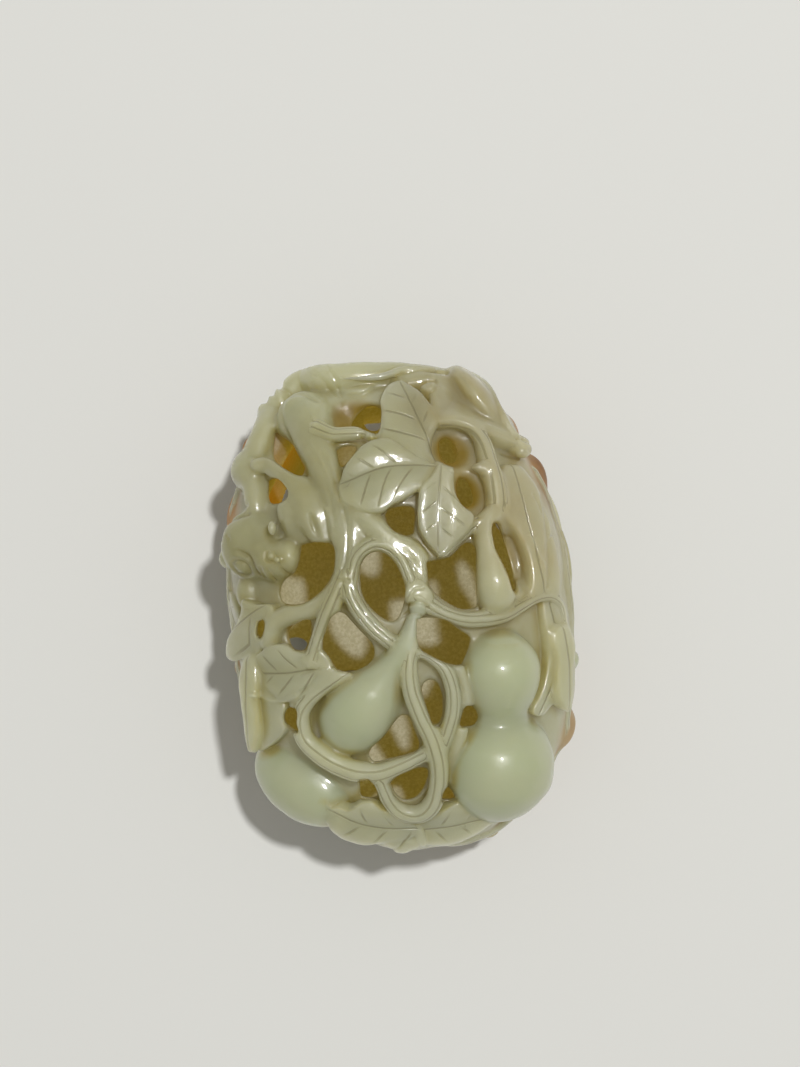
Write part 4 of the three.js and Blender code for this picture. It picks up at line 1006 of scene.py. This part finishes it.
body = bpy.data.meshes.new("jadeCarving")
body.vertices.add(len(points))
body.vertices.foreach_set("co", (points * mm).astype(np.float32).ravel())
body.loops.add(4 * len(faces))
body.loops.foreach_set("vertex_index", faces.astype(np.int32).ravel())
body.polygons.add(len(faces))
body.polygons.foreach_set("loop_start", np.arange(0, 4 * len(faces), 4, dtype=np.int32))
body.update(calc_edges=True)
carving = bpy.data.objects.new("jade_carving", body)
bpy.context.scene.collection.objects.link(carving)
if 2 * len(faces) > egg["triangles"]:
    fewer = carving.modifiers.new("fewer", "DECIMATE")
    fewer.ratio = egg["triangles"] / (2 * len(faces))
    shaped = bpy.data.meshes.new_from_object(carving.evaluated_get(bpy.context.evaluated_depsgraph_get()))
    carving.modifiers.clear()
    carving.data = shaped
body = carving.data
print("carving has", len(body.polygons), "faces")


def sample(values, places):
    # Reads the grid between its points: the eight nearest, each by the product of its shares.
    spot = (places - np.array([a[0] for a in axes])) / grain
    spot = np.clip(spot, 0, np.array(values.shape) - 1.001)
    base = spot.astype(int)
    part = spot - base
    total = 0
    for corner in np.ndindex(2, 2, 2):
        share = np.prod(np.where(corner, part, 1 - part), 1)
        total = total + share * values[tuple((base + corner).T)]
    return total


# Shading follows the slope of the carved field, so the cut-down mesh still looks smooth.
places = np.empty(3 * len(body.vertices), np.float32)
body.vertices.foreach_get("co", places)
places = places.reshape(-1, 3) / mm
steps = np.eye(3) * grain * 0.75  # the slope is read over this much to each side
slopes = np.stack([sample(stone, places + s) - sample(stone, places - s) for s in steps], 1)
slopes /= np.linalg.norm(slopes, axis=1, keepdims=True) + 1e-9
body.polygons.foreach_set("use_smooth", np.ones(len(body.polygons), bool))
body.normals_split_custom_set_from_vertices(slopes.astype(np.float32))

# What the stone is like under and over each point of its surface, for the colours: millimetres below the
# egg's full size, how thin it is, and how deep in a crease. It is thin where air comes soon below the
# surface, and a crease where stone comes soon over it.
thinWithin = 3.0
creaseWithin = 1.0


def note(name, values):
    # Keeps one value for each point of the mesh, for the material to read.
    body.attributes.new(name, "FLOAT", "POINT").data.foreach_set("value", values.astype(np.float32))


note("belowSkin", -eggLevel(*places.T)[0])
note("thin", np.clip(1 + sample(stone, places - thinWithin * slopes) / thinWithin, 0, 1))
note("crease", np.clip(1 - sample(stone, places + creaseWithin * slopes) / creaseWithin, 0, 1))
for name, values in traits.items():
    note(name, sample(values, places))
low, high = places.min(0), places.max(0)
print("carving spans", low, high)
shift = (low + high) / 2 * (1, 1, 0)
body.vertices.foreach_set("co", ((places - shift) * mm).astype(np.float32).ravel())
body.update()
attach(carving, "root")
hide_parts("squirrel_gourd_pendant")


def colour(code):
    # An sRGB hex code as the linear values that the shader takes: each part over 12.92 where it is dark,
    # and otherwise the part plus 0.055, over 1.055, to the power of 2.4.
    parts = [int(code[i:i + 2], 16) / 255 for i in (1, 3, 5)]
    return [c / 12.92 if c <= 0.04045 else ((c + 0.055) / 1.055) ** 2.4 for c in parts] + [1]


def node(kind, out, stops=(), **links):
    # Adds a node to the jade and returns one of its outputs. A keyword that is one of the node's own
    # settings sets it. Any other is an input's name, or its number as i0, i1 and so on, and takes a plain
    # value or another node's output. Stops are the places and colours of a colour ramp.
    made = jade.node_tree.nodes.new("ShaderNode" + kind)
    for key, value in links.items():
        if hasattr(made, key):
            setattr(made, key, value)
            continue
        numbered = key[0] == "i" and key[1:].isdigit()
        socket = made.inputs[int(key[1:]) if numbered else key.replace("_", " ")]
        if isinstance(value, bpy.types.NodeSocket):
            jade.node_tree.links.new(value, socket)
        else:
            socket.default_value = value
    for _ in stops[2:]:
        made.color_ramp.elements.new(0.5)  # a ramp starts with two
    for i, (share, code) in enumerate(stops):
        made.color_ramp.elements[i].position = share
        made.color_ramp.elements[i].color = colour(code)
    return made.outputs[out]


# Nephrite jade, carved and hand polished outside, left matte from the tools inside. Light enters it and
# comes out yellower; the amber on the walls of the openings is painted shade, and the hollow is lit
# olive partly by a painted glow. Millimetres.
jadeLook = {
    "body": "#A5A887",  # the skin, where the stone is thick
    "slender": "#AEAD88",  # painted glow: stems and edges lighter and yellower, where light gets through
    "slenderFrom": 0.05,
    "slenderTo": 0.6,
    "gourd": "#A7AD8C",  # the gourds are greener and clearer than the rest
    "crease": "#A0975C",  # painted shade and glow between pieces: creases darker and yellower, where light comes back from deeper
    "creaseFrom": 0.1,
    "creaseTo": 0.8,
    "cloud": "#B2B294",  # pale clouds in the skin
    "cloudSize": 9.1,
    "cloudFrom": 0.35,  # of the pattern's 0 to 1
    "cloudTo": 0.65,
    "cloudShare": 0.45,
    # Tints laid over the skin, each named for what it is round: colour, middle, reach and share in the
    # middle.
    # Round the left squirrel and below the top squirrel they are painted shade; round the right leaves
    # the tone is warmer and darker.
    "tintsAndShade": {
        "squirrelLeftShade": {"tone": "#7C743E", "at": (-17, 10, 28), "reach": 26, "share": 0.65},
        "leavesRight": {"tone": "#9C8862", "at": (19, 14, 26), "reach": 26, "share": 0.5},
        "squirrelTopShade": {"tone": "#84734A", "at": (8.5, 27.5, 27), "reach": 15, "share": 0.5},
    },
    "tintCore": 4,  # a tint is even to this distance from its middle
    "paintedAmberShade": "#6A5518",  # painted shade on the walls of the openings, darker amber as if light reached them through more stone
    "amberShare": 0.95,
    "amberFrom": 0.9,  # millimetres below the egg's full size
    "amberTo": 2.6,
    "bowlAmberFrom": 0.3,  # in the soft bowls it starts earlier
    "bowlAmberTo": 2.2,
    "matteFrom": 2.0,  # below this the polish gives way to the hollow's matte wall
    "matteTo": 3.7,
    "inside": "#A2A283",
    "insideDark": "#8E8C6C",
    "insidePale": "#B9B99E",
    "fleckSize": 0.455,  # the real tool marks are about a tenth of this, too fine to show
    # Painted shade: the hollow behind the left squirrel is painted deep honey brown.
    "paintedHollowShade": {"tone": "#3C3420", "at": (-13, 21.5, 16.5), "reach": 20, "share": 1.0},
    "russet": "#8C5F20",  # weathered skin of the boulder, left on the edges and low on the back
    "russetPale": "#A67C34",
    "russetDark": "#583714",
    "russetSize": 14.3,
    "russetFrom": 0.42,
    "russetTo": 0.66,
    "russetDrop": -0.4,  # taken off the pattern up high, so that no russet is left there
    "russetDropLow": -0.02,
    "russetTop": 20,  # it sets in between these heights over the floor
    "russetLow": 13,
    "russetDepth": 1.6,  # and down to this depth, fading to nothing at the next
    "russetDeepest": 3.0,
    "scoredShade": "#6E6840",  # painted shade in the scored lines, darker there
    "scoredShare": 0.5,
    "scoredDepth": 0.12,
    "scoredBump": 0.8,
    "polish": 0.36,  # roughness of the skin under its gloss
    "matte": 0.6,
    "gloss": 0.75,  # the crisp part of the highlights over the satin part
    "glossRoughness": 0.07,
    "russetGloss": 0.1,
    "gritSize": 1.11,  # hand polish leaves finer waves, drawn this coarse so that they show
    "gritDepth": 0.4,
    "gritSkin": 0.16,
    "gritGourd": 0.05,
    "gritInside": 0.7,
    "frost": "#AFAFA3",  # light that the matte wall scatters before it enters the stone
    "frostShare": 0.5,
    "glow": "#6B5814",  # stands in for light that comes faintly through the walls
    "insideGlow": 1.0,
    "amberGlow": 0.6,
    # Painted glow on the russet, as if light came through it.
    "russetGlowTone": "#7A4E06",
    "russetGlow": 0.3,
    "reachOut": 12,  # how far light travels in the stone, times each colour's share
    "reachIn": 14,
    "reachAmber": 3,
    "reachRusset": 1.5,
    "reachShares": (1.0, 0.95, 0.8),  # red, green, blue
    "lightEntering": 0.9,  # the rest scatters at the surface
    "ior": 1.61,  # nephrite's own
    "coatIor": 1.5,
    "specular": 0.34,
}
# Scored lines: the trait that says how far from the middle of the line a point is, and the trait that
# allows it; whether it repeats at whole numbers, its place, and where its floor and its edge end.
scores = {
    "midrib": {"across": "ribSide", "allowed": "ribbed", "at": 0.0, "floor": 0.05, "edge": 0.16},
    "sideVein": {"across": "veinAt", "allowed": "veined", "at": 0.0, "floor": 0.03, "edge": 0.085,
                 "repeats": True},
    "stemGroove": {"across": "barSide", "allowed": "grooved", "at": 0.42, "floor": 0.05, "edge": 0.13},
}
jade = bpy.data.materials.new("jade_nephrite_carved_and_polished")
jade.use_nodes = True
shader = jade.node_tree.nodes["Principled BSDF"]
smooth = {"interpolation_type": "SMOOTHSTEP"}

# What the carving noted at each point, and from it the shares from 0 to 1 that each finish has there.
depth, thin, crease, gourd, bowl, edge = (
    node("Attribute", "Fac", attribute_name=name)
    for name in ("belowSkin", "thin", "crease", "gourd", "bowl", "russet"))
spot = node("TexCoord", "Object")
deep = node("MapRange", "Result", **smooth, Value=depth, From_Min=jadeLook["matteFrom"],
            From_Max=jadeLook["matteTo"])
deep = node("MapRange", "Result", Value=bowl, To_Min=deep, To_Max=0.0)
# Painted glow: the share of the lighter tone for thin stone, by how thin the stone is there.
paintedThinGlow = node("MapRange", "Result", Value=thin, From_Min=jadeLook["slenderFrom"],
              From_Max=jadeLook["slenderTo"])
# Painted shade: the share of the darker, yellower crease tone, by how deep in a crease a point is.
paintedCreaseShade = node("MapRange", "Result", Value=crease, From_Min=jadeLook["creaseFrom"],
            From_Max=jadeLook["creaseTo"])
clouds = node("TexNoise", "Fac", Vector=spot, Scale=1 / (jadeLook["cloudSize"] * mm), Detail=3,
              Roughness=0.55)
clouds = node("MapRange", "Result", Value=clouds, From_Min=jadeLook["cloudFrom"],
              From_Max=jadeLook["cloudTo"], To_Max=jadeLook["cloudShare"])
# Painted shade: the amber share grows with the depth below the skin, earlier in the soft bowls, none on
# gourds.
paintedAmberShade = node("MapRange", "Result", **smooth, Value=depth, From_Min=jadeLook["amberFrom"],
             From_Max=jadeLook["amberTo"], To_Max=jadeLook["amberShare"])
bowlAmberShade = node("MapRange", "Result", **smooth, Value=depth, From_Min=jadeLook["bowlAmberFrom"],
             From_Max=jadeLook["bowlAmberTo"], To_Max=jadeLook["amberShare"])
paintedAmberShade = node("MapRange", "Result", Value=bowl, To_Min=paintedAmberShade, To_Max=bowlAmberShade)
paintedAmberShade = node("MapRange", "Result", Value=gourd, To_Min=paintedAmberShade, To_Max=0.0)

# A tint's or painted shade's share falls off smoothly with the distance from its middle.
nearTintsAndShade = []
for tint in [*jadeLook["tintsAndShade"].values(), jadeLook["paintedHollowShade"]]:
    away = node("VectorMath", "Value", operation="DISTANCE", i0=spot, i1=[c * mm for c in tint["at"]])
    nearTintsAndShade.append(node("MapRange", "Result", **smooth, Value=away, From_Min=jadeLook["tintCore"] * mm,
                          From_Max=tint["reach"] * mm, To_Min=tint["share"], To_Max=0.0))
# Painted shade in the hollow behind the left squirrel, only on its matte wall.
paintedHollowShade = node("Math", "Value", operation="MULTIPLY", i0=nearTintsAndShade.pop(), i1=deep)

# Russet: patchy, more of it lower down, and only in the skin, besides the lumps on the outline.
height = node("SeparateXYZ", "Z", i0=spot)
low = node("MapRange", "Result", Value=height, From_Min=jadeLook["russetTop"] * mm,
           From_Max=jadeLook["russetLow"] * mm, To_Min=jadeLook["russetDrop"],
           To_Max=jadeLook["russetDropLow"])
patches = node("TexNoise", "Fac", Vector=spot, Scale=1 / (jadeLook["russetSize"] * mm), Detail=4,
               Roughness=0.6)
stain = node("Math", "Value", operation="ADD", i0=low, i1=patches)
shallow = node("MapRange", "Result", Value=depth, From_Min=jadeLook["russetDeepest"],
               From_Max=jadeLook["russetDepth"])
stain = node("MapRange", "Result", **smooth, Value=stain, From_Min=jadeLook["russetFrom"],
             From_Max=jadeLook["russetTo"], To_Max=shallow)
stain = node("Math", "Value", operation="MAXIMUM", i0=stain, i1=edge)

# A score's share comes from how far the point is from the line's middle: 1 on its floor, 0 past its edge.
cuts = 0
for score in scores.values():
    across, allowed = (node("Attribute", "Fac", attribute_name=score[key])
                       for key in ("across", "allowed"))
    if score.get("repeats"):
        across = node("Math", "Value", operation="PINGPONG", i0=across, i1=0.5)
    across = node("Math", "Value", operation="ABSOLUTE", i0=across)
    across = node("Math", "Value", operation="SUBTRACT", i0=across, i1=score["at"])
    across = node("Math", "Value", operation="ABSOLUTE", i0=across)
    line = node("MapRange", "Result", **smooth, Value=across, From_Min=score["floor"],
                From_Max=score["edge"], To_Min=allowed, To_Max=0.0)
    cuts = node("Math", "Value", operation="ADD", i0=cuts, i1=line)
# Painted shade: the scored lines darkened by their share.
paintedScoreShade = node("Math", "Value", operation="MULTIPLY", use_clamp=True, i0=cuts, i1=jadeLook["scoredShare"])

# The colour, one tone laid over the other by its share.
flecks = node("TexNoise", "Fac", Vector=spot, Scale=1 / (jadeLook["fleckSize"] * mm), Detail=2,
              Roughness=0.6)
hollow = node("ValToRGB", "Color", Fac=flecks, stops=[
    (0.38, jadeLook["insideDark"]), (0.5, jadeLook["inside"]), (0.64, jadeLook["insidePale"])])
rust = node("ValToRGB", "Color", Fac=patches, stops=[
    (0.3, jadeLook["russetDark"]), (0.5, jadeLook["russet"]), (0.7, jadeLook["russetPale"])])
layers = [(paintedThinGlow, colour(jadeLook["slender"])), (gourd, colour(jadeLook["gourd"])),
          (paintedCreaseShade, colour(jadeLook["crease"]))]
layers += [(share, colour(tint["tone"])) for share, tint in zip(nearTintsAndShade, jadeLook["tintsAndShade"].values())]
layers += [(clouds, colour(jadeLook["cloud"])), (paintedAmberShade, colour(jadeLook["paintedAmberShade"])), (deep, hollow),
           (paintedHollowShade, colour(jadeLook["paintedHollowShade"]["tone"])), (stain, rust), (paintedScoreShade, colour(jadeLook["scoredShade"]))]
tone = colour(jadeLook["body"])
for share, layer in layers:
    tone = node("Mix", 2, data_type="RGBA", Factor=share, i6=tone, i7=layer)

# The polish: glossy outside, duller on the russet and matte inside, over slight waves from the hand.
gloss = node("MapRange", "Result", Value=stain, To_Min=jadeLook["gloss"], To_Max=jadeLook["russetGloss"])
gloss = node("MapRange", "Result", Value=deep, To_Min=gloss, To_Max=0.0)
rough = node("MapRange", "Result", Value=stain, To_Min=jadeLook["polish"], To_Max=jadeLook["matte"])
rough = node("MapRange", "Result", Value=deep, To_Min=rough, To_Max=jadeLook["matte"])
grit = node("TexNoise", "Fac", Vector=spot, Scale=1 / (jadeLook["gritSize"] * mm), Detail=4,
            Roughness=0.6)
strength = node("MapRange", "Result", Value=gourd, To_Min=jadeLook["gritSkin"],
                To_Max=jadeLook["gritGourd"])
strength = node("MapRange", "Result", Value=deep, To_Min=strength, To_Max=jadeLook["gritInside"])
bump = node("Bump", "Normal", Height=grit, Strength=strength, Distance=jadeLook["gritDepth"] * mm)
bump = node("Bump", "Normal", invert=True, Height=cuts, Strength=jadeLook["scoredBump"],
            Distance=jadeLook["scoredDepth"] * mm, Normal=bump)

# How far light travels in the stone, and the glow that stands in for what comes through the walls.
reach = node("MapRange", "Result", Value=paintedAmberShade, To_Min=jadeLook["reachOut"] * mm,
             To_Max=jadeLook["reachAmber"] * mm)
reach = node("MapRange", "Result", Value=deep, To_Min=reach, To_Max=jadeLook["reachIn"] * mm)
reach = node("MapRange", "Result", Value=stain, To_Min=reach, To_Max=jadeLook["reachRusset"] * mm)
through = node("MapRange", "Result", Value=stain, To_Min=jadeLook["amberGlow"], To_Max=0.0)
through = node("Math", "Value", operation="MULTIPLY", i0=through, i1=paintedAmberShade)
through = node("MapRange", "Result", Value=deep, To_Min=through, To_Max=jadeLook["insideGlow"])
paintedRussetGlow = node("Math", "Value", operation="MULTIPLY", i0=stain, i1=jadeLook["russetGlow"])
through = node("Math", "Value", operation="ADD", i0=through, i1=paintedRussetGlow)
glow = node("Mix", 2, data_type="RGBA", Factor=stain, i6=colour(jadeLook["glow"]),
            i7=colour(jadeLook["russetGlowTone"]))

for name, output in (("Base Color", tone), ("Coat Weight", gloss), ("Roughness", rough),
                     ("Normal", bump), ("Coat Normal", bump), ("Subsurface Scale", reach),
                     ("Emission Color", glow), ("Emission Strength", through)):
    jade.node_tree.links.new(output, shader.inputs[name])
for name, value in (("Coat Roughness", "glossRoughness"), ("Coat IOR", "coatIor"), ("IOR", "ior"),
                    ("Specular IOR Level", "specular"), ("Subsurface Weight", "lightEntering"),
                    ("Subsurface Radius", "reachShares")):
    shader.inputs[name].default_value = jadeLook[value]

frost = node("BsdfDiffuse", "BSDF", Color=colour(jadeLook["frost"]), Normal=bump)
share = node("Math", "Value", operation="MULTIPLY", i0=deep, i1=jadeLook["frostShare"])
share = node("MapRange", "Result", Value=paintedHollowShade, To_Min=share, To_Max=0.0)
mixed = node("MixShader", "Shader", Fac=share, i1=shader.outputs["BSDF"], i2=frost)
jade.node_tree.links.new(mixed, jade.node_tree.nodes["Material Output"].inputs["Surface"])
body.materials.append(jade)
print("jade finished")

# The studio: pale floor, a small bright lamp high on the right for crisp highlights, soft fill.
studio = {
    "floorHalf": 1.5,  # metres, as the lamp's sizes are
    "floorTone": "#DEDEDA",
    "floorRoughness": 0.9,
    "keyFrom": (0.17, 0.21, 0.963),  # a length of one towards the lamp
    "keyAway": 1.2,
    "keySize": 0.06,
    "keyPower": 9,
    "fillTone": "#FFFDF7",
    "fillStrength": 0.36,
    "cameraAt": (-0.131, 9.98, 347.83),  # straight over the pendant, at the photo's viewing angle
    "lens": 85,
}
scene = bpy.context.scene
floorMesh = bpy.data.meshes.new("floor")
side = studio["floorHalf"]
corners = [(-side, -side, 0), (side, -side, 0), (side, side, 0), (-side, side, 0)]
floorMesh.from_pydata(corners, [], [(0, 1, 2, 3)])
floor = bpy.data.objects.new("floor", floorMesh)
scene.collection.objects.link(floor)
# Matte paper: no highlight, so the floor stays even under the lamp.
paper = bpy.data.materials.new("paper_matte_pale")
paper.use_nodes = True
paper.node_tree.nodes["Principled BSDF"].inputs["Base Color"].default_value = colour(studio["floorTone"])
paper.node_tree.nodes["Principled BSDF"].inputs["Roughness"].default_value = studio["floorRoughness"]
floorMesh.materials.append(paper)

key = bpy.data.objects.new("key", bpy.data.lights.new("key", "AREA"))
key.data.shape = "DISK"
key.data.size = studio["keySize"]
key.data.energy = studio["keyPower"]
key.location = Vector(studio["keyFrom"]) * studio["keyAway"]
key.rotation_euler = Vector(studio["keyFrom"]).to_track_quat("Z", "Y").to_euler()
scene.collection.objects.link(key)

scene.view_settings.view_transform = "Standard"
scene.world = bpy.data.worlds.new("studio")
scene.world.use_nodes = True
fill = scene.world.node_tree.nodes["Background"]
fill.inputs["Color"].default_value = colour(studio["fillTone"])
fill.inputs["Strength"].default_value = studio["fillStrength"]

camera = bpy.data.objects.new("camera", bpy.data.cameras.new("camera"))
camera.data.lens = studio["lens"]
camera.location = (np.array(studio["cameraAt"]) - shift) * mm
camera.data.clip_start = 0.01
scene.collection.objects.link(camera)
scene.camera = camera
print("studio and camera set")
